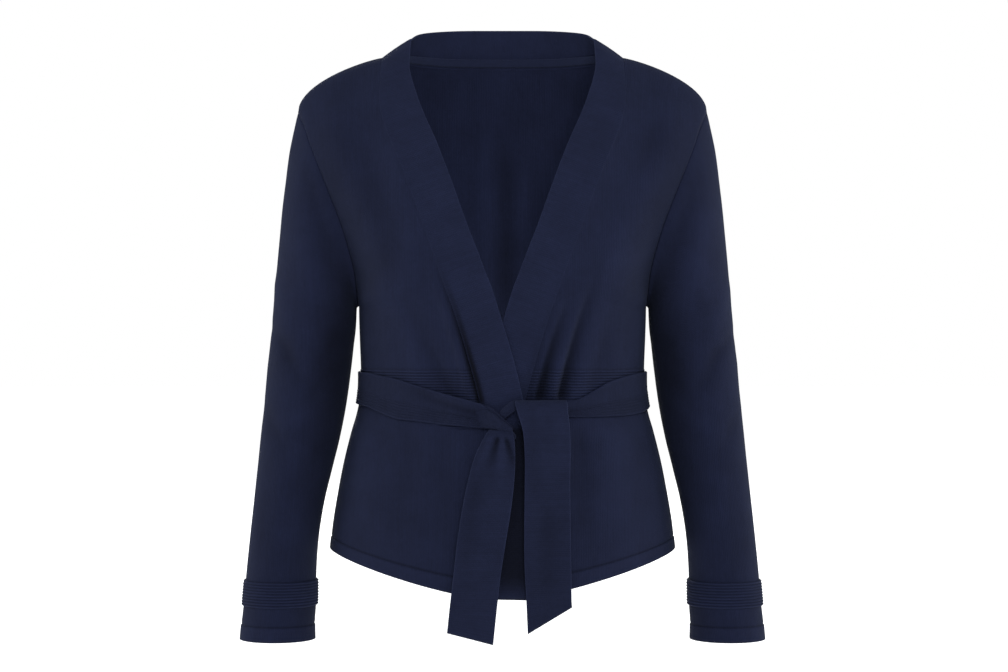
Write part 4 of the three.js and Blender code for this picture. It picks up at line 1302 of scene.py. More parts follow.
@dataclass
class Sleeves:
    """Sleeves with their turned cuffs and raised rib straps.

    Attributes:
        form: the garment's form.
        wardrobe: where the materials come from.
        rings: outer x and z, inner x and z, half depth and how far forward each ring lies.
        sag: share of the armhole's hollow line that the first rings still follow.
        columns: how many faces go round the arm, an even number.
        hem_top: height of the cuff's stitch line.
        hem_extra: how far the turned cuff stands proud.
        hem_light: how much lighter it looks for each millimetre of that.
        strap_top: height of the strap's upper edge.
        strap_bottom: height of its lower edge.
        strap_ribs: how many ribs it has.
        strap_rib_steps: rows of points to each rib.
        strap_rib_height: how far a rib stands up.
        strap_seat: air between sleeve and strap.
        strap_cloth: the strap's thickness under its ribs.
        strap_light: tone of a groove of the strap, and how much lighter a rib is: painted shade in the
            grooves and painted highlight on the ribs.
        shade: how dark the painted shade on the side that faces the body is.
        front_folds: creases on the front of the arm.
        back_folds: creases on its back.
    """

    form: BodyForm
    wardrobe: Wardrobe
    rings: Table = (
        (222.5, -72, 156.6, -269, 52.2, 0), (228.5, -101, 157, -273, 52.5, 0),
        (233, -136, 157.2, -281, 52, 0), (237.5, -175, 158, -293, 51, -1),
        (241.5, -216, 160, -309, 50, -2), (245, -258, 162.3, -330, 49, -2),
        (249, -300, 165.5, -356, 48, -1), (253, -342, 169.5, -382, 46.5, 0),
        (257, -384, 175.5, -412, 45, 2), (261, -426, 182.8, -442, 43, 5),
        (265.2, -468, 190.5, -475, 41, 8), (269.5, -510, 196.3, -512, 39.5, 11),
        (273, -548, 198.7, -548, 38, 14), (276, -585, 199, -585, 37.5, 16),
        (278.2, -605.5, 200.2, -605.5, 37.5, 17), (279.5, -621, 199.9, -621, 38.1, 18),
    )
    sag: tuple[float, ...] = (0.8, 0.5, 0.22, 0.06)
    columns: int = 120
    hem_top: float = -605.8
    hem_extra: float = 0.55
    hem_light: float = 0.2
    strap_top: float = -558.0
    strap_bottom: float = -585.5
    strap_ribs: int = 9
    strap_rib_steps: int = 8
    strap_rib_height: float = 0.85
    strap_light: tuple[float, float] = (0.72, 0.64)
    strap_seat: float = 0.3
    strap_cloth: float = 1.5
    shade: float = 0.55
    front_folds: tuple[Crease, ...] = (
        Crease((246, -236), (228, -292), (-1.2, -0.8), (8, 9), bend=2),
        Crease((232, -300), (206, -352), (1.6, 1.0), (8, 9), bend=-3),
        Crease((250, -286), (222, -330), (1.1, 0.7), (6, 8), bend=2),
        Crease((176, -292), (196, -340), (1.8, 1.0), (8, 10), bend=3),
        Crease((172, -330), (204, -372), (1.5, 1.1), (7, 9), bend=-3),
        Crease((186, -356), (232, -392), (-1.3, -0.9), (8, 10), bend=4),
        Crease((252, -372), (226, -424), (1.3, 0.8), (8, 10), bend=-3),
        Crease((188, -410), (224, -462), (1.2, 0.8), (9, 11), bend=3),
        Crease((224, -150), (196, -252), (-1.0, -1.2), (13, 15), bend=-4),
        Crease((204, -132), (180, -236), (1.1, 1.4), (11, 12), bend=3),
        Crease((246, -430), (254, -540), (0.9, 0.6), (10, 12)),
        Crease((214, -470), (222, -556), (-0.9, -0.5), (11, 12), bend=2),
    )
    back_folds: tuple[Crease, ...] = (
        Crease((240, -180), (214, -260), (1.3, 1.2), (12, 13), bend=3),
        Crease((250, -300), (206, -350), (2.0, 1.4), (8, 9), bend=-4),
        Crease((252, -330), (200, -378), (-1.6, -1.0), (8, 9), bend=-4),
        Crease((254, -360), (206, -404), (1.7, 1.1), (7, 9), bend=-4),
        Crease((196, -300), (180, -350), (1.4, 0.9), (8, 9), bend=3),
        Crease((206, -140), (182, -244), (-1.2, -1.0), (13, 13), bend=-3),
        Crease((256, -430), (232, -520), (1.2, 0.8), (10, 12), bend=3),
        Crease((214, -440), (222, -548), (-1.0, -0.6), (10, 12)),
    )

    def armhole(self, angle: np.ndarray) -> np.ndarray:
        """Points of the armhole.

        Args:
            angle: places round it, 0 at its top and positive on the front.

        Returns:
            The points.
        """
        top, bottom = self.form.armhole_top, self.form.armhole_bottom
        z = (top + bottom) / 2 + (top - bottom) / 2 * np.cos(angle)
        x = track(self.form.outer_edge, z)[..., 0]
        return np.stack([x, -self.form.armhole_depth_half * np.sin(angle), z], axis=-1)

    def ring(self, row: np.ndarray, angle: np.ndarray, sag: float, out: float = 0.0) -> np.ndarray:
        """Points of one ring of the sleeve.

        Args:
            row: outer x and z, inner x and z, half depth and how far it lies forward.
            angle: places round it.
            sag: share of the armhole's hollow line that it still follows.
            out: how far outside the sleeve it lies.

        Returns:
            The ring's points.
        """
        mid_x, half_x = (row[0] + row[2]) / 2, (row[0] - row[2]) / 2 + out
        mid_z, half_z = (row[1] + row[3]) / 2, (row[1] - row[3]) / 2
        ends = self.armhole(np.array([0.0, math.pi]))[:, 0]
        straight = mix(ends[1], ends[0], (np.cos(angle) + 1.0) / 2)
        hollow = (self.armhole(angle)[..., 0] - straight) * sag
        return np.stack([mid_x + half_x * np.cos(angle) + hollow,
                         -(row[4] + out) * np.sin(angle) - row[5],
                         mid_z + half_z * np.cos(angle)], axis=-1)

    def build_sleeve(self, side: Side) -> None:
        """Make one sleeve as a closed round from the armhole to the turned cuff.

        Args:
            side: which sleeve.
        """
        angle = np.linspace(-math.pi, math.pi, self.columns + 1)
        table = np.array(self.rings, float)
        sags = [*self.sag, *[0.0] * len(table)]
        start = self.armhole(angle)
        rings = np.stack([start, *[self.ring(row, angle, sag) for row, sag in zip(table, sags)]])
        gaps = np.linalg.norm(np.diff(rings, axis=0), axis=-1).mean(axis=1)
        keys = np.concatenate([[0.0], np.cumsum(gaps)])
        where = steps((0, 30, 16), (30, keys[-2] - 4, 180), (keys[-2] - 4, keys[-1], 20))
        base = follow(keys, rings, where)
        across, down = run_across(base), run_down(base)
        normals = grid_normals(base, wraps=True)
        outwards = base - base.mean(axis=1, keepdims=True)
        normals *= np.sign((normals * outwards).sum(-1, keepdims=True))
        x, z = base[..., 0], base[..., 2]
        facing = smooth(0.25, -0.25, normals[..., 1])
        shift = FOLD_SHIFTS[side]
        lift = relief(self.front_folds, x + shift.front[0], z + shift.front[1]) * facing * shift.strength
        lift += relief(self.back_folds, x + shift.back[0], z + shift.back[1]) * (1 - facing)
        lift *= smooth(4.0, 24.0, down) * smooth(-602.0, -590.0, z)
        hem = self.hem_extra * hem_step(z, self.hem_top)
        stitch = stitch_line(z, self.hem_top)
        height = lift + hem - STITCH_DEPTH * stitch + seam_roll(down) + seam_roll(from_sides(across))
        points = mirrored(base + normals * height[..., None], side.value)
        middle = across - across[:, self.columns // 2][:, None]
        lay = np.stack([middle, -down], axis=-1)
        # Painted shade on the side of the sleeve that faces the body, fainter lower down, and painted fold
        # shade.
        painted_inner_shade = smooth(0.1, -0.9, normals[..., 0]) * (0.4 + 0.6 * smooth(-480.0, -340.0, z))
        tone = (painted_fold_shade(lift) - STITCH_SHADE * stitch + self.hem_light * hem) * (1.0 - self.shade * painted_inner_shade)
        sleeve = Cloth(f"sleeve_{side.word}_knit", points, lay, Finish.BODY, tone)
        piece = sleeve.object(self.wardrobe, (side.value * 210.0, 0.0), weld=True, thickness=self.form.cloth)
        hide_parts(f"sleeve_{side.word}")

    def build_strap(self, side: Side) -> None:
        """Make one raised cuff strap with its ribs running round the arm.

        Args:
            side: which strap.
        """
        angle = np.linspace(-math.pi, math.pi, self.columns + 1)
        high, low = np.array(self.rings[12:14], float)
        count = self.strap_ribs * self.strap_rib_steps
        heights = np.linspace(self.strap_top, self.strap_bottom, count + 1)
        rows, waves = [], []
        for k, z in enumerate(heights):
            share = (z - high[1]) / (low[1] - high[1])
            row = mix(high, low, share)
            row[1] = row[3] = z
            wave = 0.5 - 0.5 * math.cos(2 * math.pi * k * self.strap_ribs / count)
            soft = 1.0 - 0.7 * math.exp(-min(k, count - k) / 3.0)
            out = self.strap_seat + self.strap_cloth * soft + self.strap_rib_height * wave
            rows.append(self.ring(row, angle, 0.0, out))
            waves.append(wave)
        points = np.stack(rows)
        across, down = run_across(points), run_down(points)
        lay = np.stack([down, across], axis=-1)
        # Painted shade in the strap's grooves and painted highlight on its ribs.
        groove, gain = self.strap_light
        tone = np.broadcast_to((groove + gain * np.array(waves))[:, None], across.shape)
        points = mirrored(points, side.value)
        strap = Cloth(f"cuff_strap_{side.word}_rib", points, lay, Finish.STRAP, tone)
        piece = strap.object(self.wardrobe, (side.value * 237.0, -15.0), weld=True,
                             thickness=self.strap_cloth)
        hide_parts(f"cuff_strap_{side.word}")

    def build(self) -> None:
        """Make both sleeves and both straps."""
        for side in Side:
            self.build_sleeve(side)
            self.build_strap(side)


@dataclass
class NeckBand:
    """The doubled band up both fronts and round the neck, with the tape inside it.

    Attributes:
        form: the garment's form.
        wardrobe: where the materials come from.
        cloth: the doubled band's thickness.
        proud: how far its face stands over the seam.
        crown: how much fuller it is along its middle.
        overlap: how far it runs under the front at the seam.
        columns: columns of points across it.
        fold_light: how much lighter its free edge looks, as painted highlight.
        gap_shade: how dark the painted shadow on the band between the tails is.
        gap_x: x, counted towards the wearer's left, over which that painted shadow sets in.
        gap_top: heights over which it sets in under the knot.
        gap_bottom: heights over which it sets in from the hem.
        centre_gap: half the air between the halves at the centre back.
        tape_from: the tape's lower edge over the neck seam.
        tape_to: its upper edge.
        tape_cloth: its thickness.
        tape_shade: how dark the painted shade along its long edges is.
        smoothing: how often the directions along the band are averaged.
    """

    form: BodyForm
    wardrobe: Wardrobe
    cloth: float = 2.4
    proud: float = 0.15
    crown: float = 0.7
    overlap: float = 1.0
    columns: int = 21
    fold_light: float = 0.3
    gap_shade: float = 0.72
    gap_x: tuple[float, float] = (-8.0, 0.0)
    gap_top: tuple[float, float] = (-386.0, -398.0)
    gap_bottom: tuple[float, float] = (-575.0, -540.0)
    centre_gap: float = 0.15
    tape_from: float = 2.4
    tape_to: float = 11.5
    tape_cloth: float = 1.1
    tape_shade: float = 0.55
    smoothing: int = 10

    @staticmethod
    def frames(table: Table, key: np.ndarray, facing: tuple[float, float]) -> tuple[np.ndarray, ...]:
        """Seam, free edge, direction across and outward normal at places along the band.

        Args:
            table: rows whose second to seventh columns are the seam and the free edge.
            key: the places.
            facing: weights of y and z that the outward side has.

        Returns:
            Four arrays of vectors.
        """
        low, high = sorted((table[0][0], table[-1][0]))
        step = (high - low) * 0.004
        row = track(table, key)
        seam, edge = row[..., 0:3], row[..., 3:6]
        after = track(table, np.clip(key + step, low, high))[..., 0:3]
        before = track(table, np.clip(key - step, low, high))[..., 0:3]
        across = unit(edge - seam)
        normal = unit(np.cross(after - before, across))
        outward = normal[:, 1] * facing[0] + normal[:, 2] * facing[1]
        return seam, edge, across, normal * np.where(outward < 0, -1.0, 1.0)[:, None]

    def path(self) -> tuple[np.ndarray, ...]:
        """Follow the band from the front hem over the shoulder to the centre back.

        Returns:
            Seam, free edge, direction across and outward normal, and how many places are in front.
        """
        heights = steps((self.form.hem, -86, 150), (-86, -66, 14), (-66, -60, 10))
        shares = steps((0.02, 1.0, 48))
        front = self.frames(self.form.front_rows, heights, (-1.0, 0.4))
        neck = self.frames(self.form.neck_rows, shares, (1.0, 0.4))
        seam, edge, across, normal = (np.concatenate(pair) for pair in zip(front, neck))
        for vectors in (across, normal):
            for _ in range(self.smoothing):
                blend = vectors.copy()
                blend[1:-1] = (vectors[:-2] + 2 * vectors[1:-1] + vectors[2:]) / 4
                vectors[:] = unit(blend)
        return seam, edge, across, normal, len(heights)

    def build_band(self, side: Side) -> None:
        """Make one half of the band, from its hem to the centre back.

        Args:
            side: which half.
        """
        seam, edge, across, normal, front_count = self.path()
        places = np.linspace(0.0, 1.0, self.columns)
        width = np.linalg.norm(edge - seam, axis=-1)
        depth = self.proud - self.cloth / 2 + self.crown * 4 * places * (1 - places)
        reach = places[None, :] * (width[:, None] + self.overlap) - self.overlap
        points = (seam[:, None] + across[:, None] * reach[..., None]
                  + normal[:, None] * depth[None, :, None])
        if side is Side.LEFT:
            front = points[:front_count]
            front[..., 1] += self.form.lap_shift(front[..., 0], front[..., 2])
        points[-1, :, 0] = self.centre_gap
        normals = np.broadcast_to(normal[:, None], points.shape).copy()
        strip = Strip(places, points, normals)
        tube, lay = rounded_strip(strip, self.cloth, (True, False))
        near = from_sides(lay[..., 1]) - self.overlap
        # Painted shade of the waist fold along the band seam.
        tone = SEAM_FOLDS[side].tone(near, tube[..., 2])
        # Painted highlight along the band's free edge.
        tone *= 1.0 + self.fold_light * bell(lay[..., 1] - lay[:, -1:, 1] / 2)
        tube = mirrored(tube, side.value)
        # Painted shadow on the band between the two tails.
        if side is Side.RIGHT:
            gap = smooth(*self.gap_x, tube[..., 0])
            gap = gap * smooth(*self.gap_top, tube[..., 2]) * smooth(*self.gap_bottom, tube[..., 2])
            tone *= 1.0 - self.gap_shade * gap
        band = Cloth(f"band_{side.word}_knit", tube, lay, Finish.BAND, tone)
        piece = band.object(self.wardrobe, (0.0, 0.0), weld=True)
        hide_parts(f"band_{side.word}")

    def build_tape(self) -> None:
        """Make the tape that covers the back neck seam from the inside."""
        share = np.linspace(0.16, 1.0, 60)
        seam, _, across, normal = self.frames(self.form.neck_rows, share, (1.0, 0.4))
        heights = np.linspace(self.tape_from, self.tape_to, 9)
        depth = self.cloth - self.proud + 0.1 + self.tape_cloth / 2
        half = (seam[:, None] + across[:, None] * heights[None, :, None] - normal[:, None] * depth)
        out = np.broadcast_to(normal[:, None], half.shape)
        points = np.concatenate([mirrored(half, -1.0), half[::-1][1:]])
        normals = np.concatenate([mirrored(out, -1.0), out[::-1][1:]])
        strip = Strip(np.linspace(0.0, 1.0, len(heights)), points, normals)
        tube, lay = rounded_strip(strip, self.tape_cloth, (True, True))
        low = from_sides(lay[..., 1])
        # Painted shade along the tape's long edges.
        tone = 1.0 - self.tape_shade * bell(low)
        tape = Cloth("neck_tape_knit", tube, lay, Finish.TAPE, tone)
        piece = tape.object(self.wardrobe, (0.0, 0.0), weld=True)
        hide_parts("neck_tape")

    def build(self) -> None:
        """Make both halves of the band and the tape."""
        for side in Side:
            self.build_band(side)
        self.build_tape()


@dataclass
class Belt:
    """The self belt: three stretches round the waist, the half knot and two tails.

    Attributes:
        form: the garment's form.
        wardrobe: where the material comes from.
        cloth: the doubled belt's thickness.
        width: its width as gathered round the waist.
        seat: air between the plain cloth and the belt's inside.
        knot_rise: how much further off it lies where it runs into the knot.
        follows: share of a crease that the belt's middle follows; its face takes the rest.
        rib_height: how far a lengthwise rib stands up.
        ribs: how many there are.
        ribs_from: share of the belt's width above them.
        light: tone of the stretches.
        groove_shade: how dark a groove between ribs looks, as painted shade.
        edge_light: how much lighter the long edges look, as painted highlight.
        edge_width: how far that painted highlight reaches.
        band_width: width of the front band.
        band_face: y of the right band's face under the belt.
        right: place along the right front, top and bottom height.
        left: the same on the left front.
        behind: the same on the back.
        over: height, left x, right x and y of the upper tail.
        over_end: height of its slanted end at the left and the right.
        under: the same table for the lower tail.
        under_end: height of its slanted end at the left and the right.
        tail_columns: columns of points across a tail.
        pleated_from: y in front of which a tail shows its pleats.
        pleats_after: length over which they set in at a tail's top.
        knot_light: tone of the knot.
        groove_width: half width of a groove along the knot, as an angle.
        groove_drift: how far a groove wanders, as an angle.
    """

    form: BodyForm
    wardrobe: Wardrobe
    cloth: float = 2.2
    width: float = 34.0
    seat: float = 1.1
    knot_rise: float = 1.6
    follows: float = 0.6
    rib_height: float = 0.4
    ribs: int = 6
    ribs_from: float = 0.56
    light: float = 0.9
    groove_shade: float = 0.13
    edge_light: float = 0.35
    edge_width: float = 1.3
    tail_columns: int = 33
    pleated_from: float = -122.0
    pleats_after: float = 10.0
    knot_light: float = 0.88
    groove_width: float = 0.2
    groove_drift: float = 0.2
    band_width: float = 44.0
    band_face: float = -112.9
    right: Table = (
        (0, -336.6, -371.5), (0.3, -337.2, -373.5), (0.45, -340, -379.3), (0.58, -343.4, -385.3),
        (0.68, -348.4, -386.8), (0.82, -356.3, -389.9), (0.94, -363.6, -392), (1, -367.6, -392.8),
        (1.2, -374.8, -393.8), (1.45, -382, -395),
    )
    left: Table = (
        (0, -336.6, -374.5), (0.29, -338, -380.3), (0.43, -340.6, -382.2), (0.57, -346.5, -382.7),
        (0.65, -354, -382.7), (0.76, -364.5, -382.5), (1, -370, -383),
    )
    behind: Table = (
        (-1, -336.6, -371.5), (-0.5, -337.5, -376), (0, -338, -379), (0.5, -337.5, -377.5),
        (1, -336.6, -374.5),
    )
    over: Table = (
        (-390, 16, 62, -115), (-377, 15, 64, -115.4), (-369, 13.5, 65, -117.6),
        (-365.5, 13, 65.5, -122), (-368.5, 13, 66, -127.4), (-376, 15, 66.5, -129.4),
        (-395, 20.5, 68.5, -130), (-420, 22.5, 69, -130), (-450, 22.5, 68.5, -130.4),
        (-490, 22, 69, -131), (-530, 22.2, 69.5, -131.6), (-565, 24, 70, -131.8),
    )
    over_end: tuple[float, float] = (-600.5, -573.5)
    under: Table = (
        (-394.2, -14, 10, -122.5), (-400, -17.5, 11.5, -124), (-408, -22, 12.5, -125.5),
        (-422, -28.5, 13, -127), (-440, -33.5, 12.5, -128), (-470, -40, 9.5, -129.5),
        (-505, -45.5, 4, -131), (-540, -49.5, -1.5, -132), (-570, -53, -5, -132),
    )
    under_end: tuple[float, float] = (-599.5, -611.5)

    def profile(self, share: np.ndarray) -> np.ndarray:
        """Height of the lengthwise ribs in the belt's lower part.

        Args:
            share: place across the belt, from 0 at its top to 1.

        Returns:
            The height, from 0 to 1.
        """
        inside = smooth(self.ribs_from - 0.02, self.ribs_from + 0.02, share) * smooth(1.0, 0.97, share)
        place = (share - self.ribs_from) / (1.0 - self.ribs_from)
        return inside * (0.5 - 0.5 * np.cos(2 * math.pi * place * self.ribs))

    def front_surface(self, t: np.ndarray, z: np.ndarray, side: Side) -> np.ndarray:
        """The surface under the belt in front; past t 1 it is the band's face.

        Args:
            t: place along the belt, from the side seam.
            z: height.
            side: which front.

        Returns:
            The points, with x counted outwards.
        """
        points = self.form.front(np.minimum(t, 1.0), z)
        if side is Side.LEFT:
            points[..., 1] += self.form.lap_shift(points[..., 0], points[..., 2]) * 0.4
        else:
            points[..., 1] = mix(points[..., 1], self.band_face, smooth(0.78, 1.0, t))
        points[..., 0] -= np.maximum(0.0, t - 1.0) * self.band_width
        return points

    def stretch(self, name: str, table: Table, places: np.ndarray, surface: Surface, sign: float,
                creases: tuple[Crease, ...], node: str) -> None:
        """Make one stretch of the belt round the body.

        Args:
            name: the piece's name.
            table: place along it, top and bottom height.
            places: its columns.
            surface: the body's surface under it, by place and height.
            sign: -1 where x is mirrored.
            creases: its folds.
            node: the solid that it stands for.
        """
        share = steps((0.0, 0.06, 3), (0.06, 0.54, 12), (0.54, 0.98, 48), (0.98, 1.0, 2))
        edges = track(table, places)
        z = mix(edges[:, 0][None, :], edges[:, 1][None, :], share[:, None])
        t = np.broadcast_to(places[None, :], z.shape)
        base = surface(t, z)
        normals = grid_normals(base)
        normals *= np.sign((normals[..., :2] * base[..., :2]).sum(-1, keepdims=True))
        wave = np.broadcast_to(self.profile(share)[:, None], z.shape)
        gap = np.minimum(share, 1 - share) * self.width
        swell = round_edge(gap, self.cloth / 2)[:, None]
        lift = relief(creases, base[..., 0], base[..., 2])
        clear = self.seat + self.cloth / 2 + self.knot_rise * smooth(1.05, 1.4, t)
        middle = base + normals * (clear + lift * self.follows)[..., None]
        outer = middle + normals * ((self.cloth / 2 + self.rib_height * wave) * swell
                                    + lift * (1.0 - self.follows))[..., None]
        inner = middle - normals * (self.cloth / 2 * swell)[..., None]
        outer[[0, -1]] = middle[[0, -1]]
        inner[[0, -1]] = middle[[0, -1]]
        points = np.concatenate([outer, inner[::-1][1:]])
        along, down = run_across(points), run_down(points)
        lay = np.stack([along, -down], axis=-1)
        # Painted shade in the rib grooves and fold troughs, painted highlight on the long edges and ridges.
        ribs = self.light - self.groove_shade * (1.0 - wave) * smooth(0.55, 0.58, share)[:, None]
        ribs = ribs * (1.0 + self.edge_light * bell(gap, self.edge_width))[:, None]
        tone = np.concatenate([ribs * painted_fold_shade(lift, 0.16, -4.0, 2.0), np.ones_like(wave[1:])])
        points = mirrored(points, sign)
        piece = Cloth(name, points, lay, Finish.BELT, tone).object(self.wardrobe, (0.0, 0.0), weld=True)
        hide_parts(node)

    def build_stretches(self) -> None:
        """Make the belt's stretches on the right front, the left front and the back."""
        right_creases = (
            Crease((104, -347), (10, -381), (0.2, 2.4), (4.4, 2.6), bend=-4, fade=(0.3, 0.1)),
            Crease((84, -341), (6, -374), (-0.1, -1.1), (3.4, 2.2), bend=-4, fade=(0.3, 0.1)),
            Crease((62, -376), (0, -390), (0.5, 1.2), (2.6, 2.0), fade=(0.3, 0.1)),
        )
        left_creases = (
            Crease((100, -355), (58, -366), (0.3, 2.6), (3.4, 2.4), bend=1, fade=(0.4, 0.1)),
            Crease((98, -349), (60, -359), (-0.2, -1.2), (4, 3), fade=(0.4, 0.1)),
            Crease((112, -368), (62, -376), (0.2, 1.0), (3, 2.4), fade=(0.4, 0.1)),
        )
        back_creases = (
            Crease((-60, -344), (-10, -362), (0.5, 0.7), (5, 5)),
            Crease((30, -350), (80, -342), (0.6, 0.4), (5, 5)),
        )
        self.stretch("belt_right_knit", self.right, np.linspace(0.0, 1.45, 130),
                     lambda t, z: self.front_surface(t, z, Side.RIGHT), -1.0, right_creases,
                     "belt_front_right")
        self.stretch("belt_left_knit", self.left, np.linspace(0.0, 0.95, 100),
                     lambda t, z: self.front_surface(t, z, Side.LEFT), 1.0, left_creases,
                     "belt_front_left")
        self.stretch("belt_back_knit", self.behind, np.linspace(-1.0, 1.0, 160),
                     self.form.back, 1.0, back_creases, "belt_back")

    def tail(self, name: str, table: Table, end: tuple[float, float], turned: int, node: str,
             pleats: tuple[Crease, ...], flat: tuple[float, float], area: float) -> None:
        """Make one hanging end of the belt.

        Args:
            name: the piece's name.
            table: height, left x, right x and y of its stations.
            end: height of its slanted end at the left and the right.
            turned: how many stations its closely folded top takes.
            node: the solid that it stands for.
            pleats: its folds, seen from the front.
            flat: its width and length laid flat; not used.
            area: its flat area; not used.
        """
        rows = np.array(table, float)
        drift = (rows[-1, 1] - rows[-2, 1]) / (rows[-2, 0] - rows[-1, 0]) * 0.9
        edges = []
        for column, height in ((1, end[0]), (2, end[1])):
            foot = [rows[-1, column] + drift * (rows[-1, 0] - height), rows[-1, 3], height]
            edges.append(np.vstack([rows[:, [column, 3, 0]], foot]))
        left, right = edges
        keys = run_along((left + right) / 2)
        where = steps((0, keys[turned], 44), (keys[turned], keys[-1], 110))
        across = np.linspace(0.0, 1.0, self.tail_columns)
        a, b = follow(keys, left, where), follow(keys, right, where)
        points = a[:, None] + (b - a)[:, None] * across[None, :, None]
        normals = grid_normals(points)
        normals *= -np.sign(normals[-20:, :, 1].mean())
        front = points[..., 1] < self.pleated_from
        begun = smooth(0.0, self.pleats_after, where)[:, None]
        lift = relief(pleats, points[..., 0], points[..., 2]) * begun * front
        points = points + normals * lift[..., None]
        tube, lay = rounded_strip(Strip(across, points, normals), self.cloth, (True, True))
        # Painted shade in the pleats' troughs and painted highlight on their ridges and the folded edges.
        shade = relief(pleats, tube[..., 0], tube[..., 2]) * begun * (tube[..., 1] < self.pleated_from)
        tone = painted_fold_shade(shade, 0.27, -2.8, 0.8) * painted_edge_highlight(lay)
        piece = Cloth(name, tube, lay, Finish.BELT, tone).object(self.wardrobe, (0.0, 0.0), weld=True)
        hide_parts(node)

    def build_tails(self) -> None:
        """Make the upper and the lower tail."""
        over_pleats = (
            Crease((30, -372), (34, -470), (0.5, 0.2), (5, 8)),
            Crease((58, -372), (60, -430), (-0.5, -0.2), (6, 9)),
            Crease((46, -470), (44, -560), (0.6, 0.4), (9, 10)),
        )
        under_pleats = (
            Crease((-4.5, -402), (-12, -430), (2.6, 0.7), (2.3, 4.2), fade=(0.1, 0.5)),
            Crease((3.6, -403), (13, -434), (2.4, 0.7), (2.1, 3.8), fade=(0.1, 0.5)),
            Crease((-0.5, -404), (-1.5, -456), (-1.5, -0.4), (3.0, 7), fade=(0.1, 0.5)),
            Crease((-11, -399), (-29, -446), (-1.2, -0.4), (2.6, 5), fade=(0.1, 0.5)),
            Crease((-26, -440), (-38, -540), (0.7, 0.4), (7, 9)),
        )
        self.tail("tail_over_knit", self.over, self.over_end, 5, "belt_tail_over", over_pleats,
                  (0.048, 0.255), 0.0115)
        self.tail("tail_under_knit", self.under, self.under_end, 3, "belt_tail_under", under_pleats,
                  (0.046, 0.215), 0.0088)

    def roll(self, sections: Table, sides: int, grooves: Table) -> np.ndarray:
        """Points of a flat bundle of folded cloth.

        Args:
            sections: x, y, z of the middle, half width and half depth of each section.
            sides: how many points go round it.
            grooves: angle and depth of the folds along it.

        Returns:
            Rows and columns of points, shut at both ends.
        """
        table = np.array(sections, float)
        keys = run_along(table[:, :3])
        where = np.linspace(0.0, keys[-1], 64)
        row = follow(keys, table, where)
        along = unit(np.gradient(row[:, :3], axis=0))
        across = unit(np.cross(along, np.array([0.0, -1.0, 0.0])))
        out = unit(np.cross(across, along))
        angle = np.linspace(0.0, 2 * math.pi, sides + 1)
        shape = np.ones((len(where), sides + 1))
        for k, (place, depth) in enumerate(grooves):
            drift = place + self.groove_drift * np.sin(where / keys[-1] * math.pi + k)
            away = (angle[None, :] - drift[:, None] + math.pi) % (2 * math.pi) - math.pi
            shape -= depth * bell(away, self.groove_width)
        shut = round_edge(np.minimum(where, keys[-1] - where), 2.5)
        flat_cos = np.sign(np.cos(angle)) * np.abs(np.cos(angle)) ** 0.8
        flat_sin = np.sign(np.sin(angle)) * np.abs(np.sin(angle)) ** 0.8
        wide = (row[:, 3] * shut)[:, None] * flat_cos[None, :] * (0.5 + 0.5 * shape)
        deep = (row[:, 4] * shut)[:, None] * flat_sin[None, :] * shape
        return row[:, None, :3] + across[:, None] * wide[..., None] + out[:, None] * deep[..., None]

    def build_knot(self) -> None:
        """Make the half knot: the belt's diagonal roll and the two small turns of cloth beside it."""
        rolls = (
            self.roll(((-30, -112.4, -379.2, 12.8, 1.0), (-18, -115.6, -381.6, 11.8, 2.4),
                       (-10, -118.9, -384.6, 9.6, 3.8), (-2.6, -121.4, -388.2, 6.8, 4.6),
                       (5, -122.4, -392, 4.3, 4.2), (10.5, -121.8, -394.6, 2.4, 2.8)),
                      64, ((2.35, 0.42), (1.5, 0.16), (0.85, 0.2))),
            self.roll(((16, -120, -367, 4.2, 2.2), (9.5, -120.6, -371.2, 5.0, 2.6),
                       (2, -119.6, -377.6, 4.6, 2.4), (-4, -115.5, -385, 3.4, 1.8)),
                      48, ((1.9, 0.25), (1.1, 0.12))),
            self.roll(((-13, -117, -391.5, 2.4, 1.6), (-6, -119.6, -395.2, 4.2, 2.6),
                       (2, -121, -397.4, 4.8, 3.0), (9, -120.4, -400, 4.0, 2.6),
                       (13, -118.8, -404, 2.0, 1.6)),
                      48, ((1.7, 0.2),)),
        )
        for k, points in enumerate(rolls):
            along, around = run_down(points), run_across(points)
            lay = np.stack([along, around], axis=-1)
            tone = np.full(along.shape, self.knot_light)
            cloth = Cloth("knot_knit" if k == 0 else f"knot_turn_{k}", points, lay, Finish.BELT, tone)
            cloth.object(self.wardrobe, (0.0, -110.0), weld=True)
        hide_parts("belt_knot")

    def build(self) -> None:
        """Make the whole belt."""
        self.build_stretches()
        self.build_tails()
        self.build_knot()


# Studio


@dataclass(frozen=True)
class Lamp:
    """A square soft light.

    Attributes:
        name: its name.
        place: where it stands, in metres.
        size: length of its sides.
        power: its power in watts.
    """

    name: str
    place: tuple[float, float, float]
    size: float
    power: float

    def build(self, aim: tuple[float, float, float]) -> None:
        """Make the light.

        Args:
            aim: the point that it looks at.
        """
        data = bpy.data.lights.new(self.name, "AREA")
        data.shape = "SQUARE"
        data.size = self.size
        data.energy = self.power
        lamp = bpy.data.objects.new(self.name, data)
        lamp.location = self.place
        look = Vector(aim) - Vector(self.place)
        lamp.rotation_euler = look.to_track_quat("-Z", "Y").to_euler()
        bpy.context.scene.collection.objects.link(lamp)


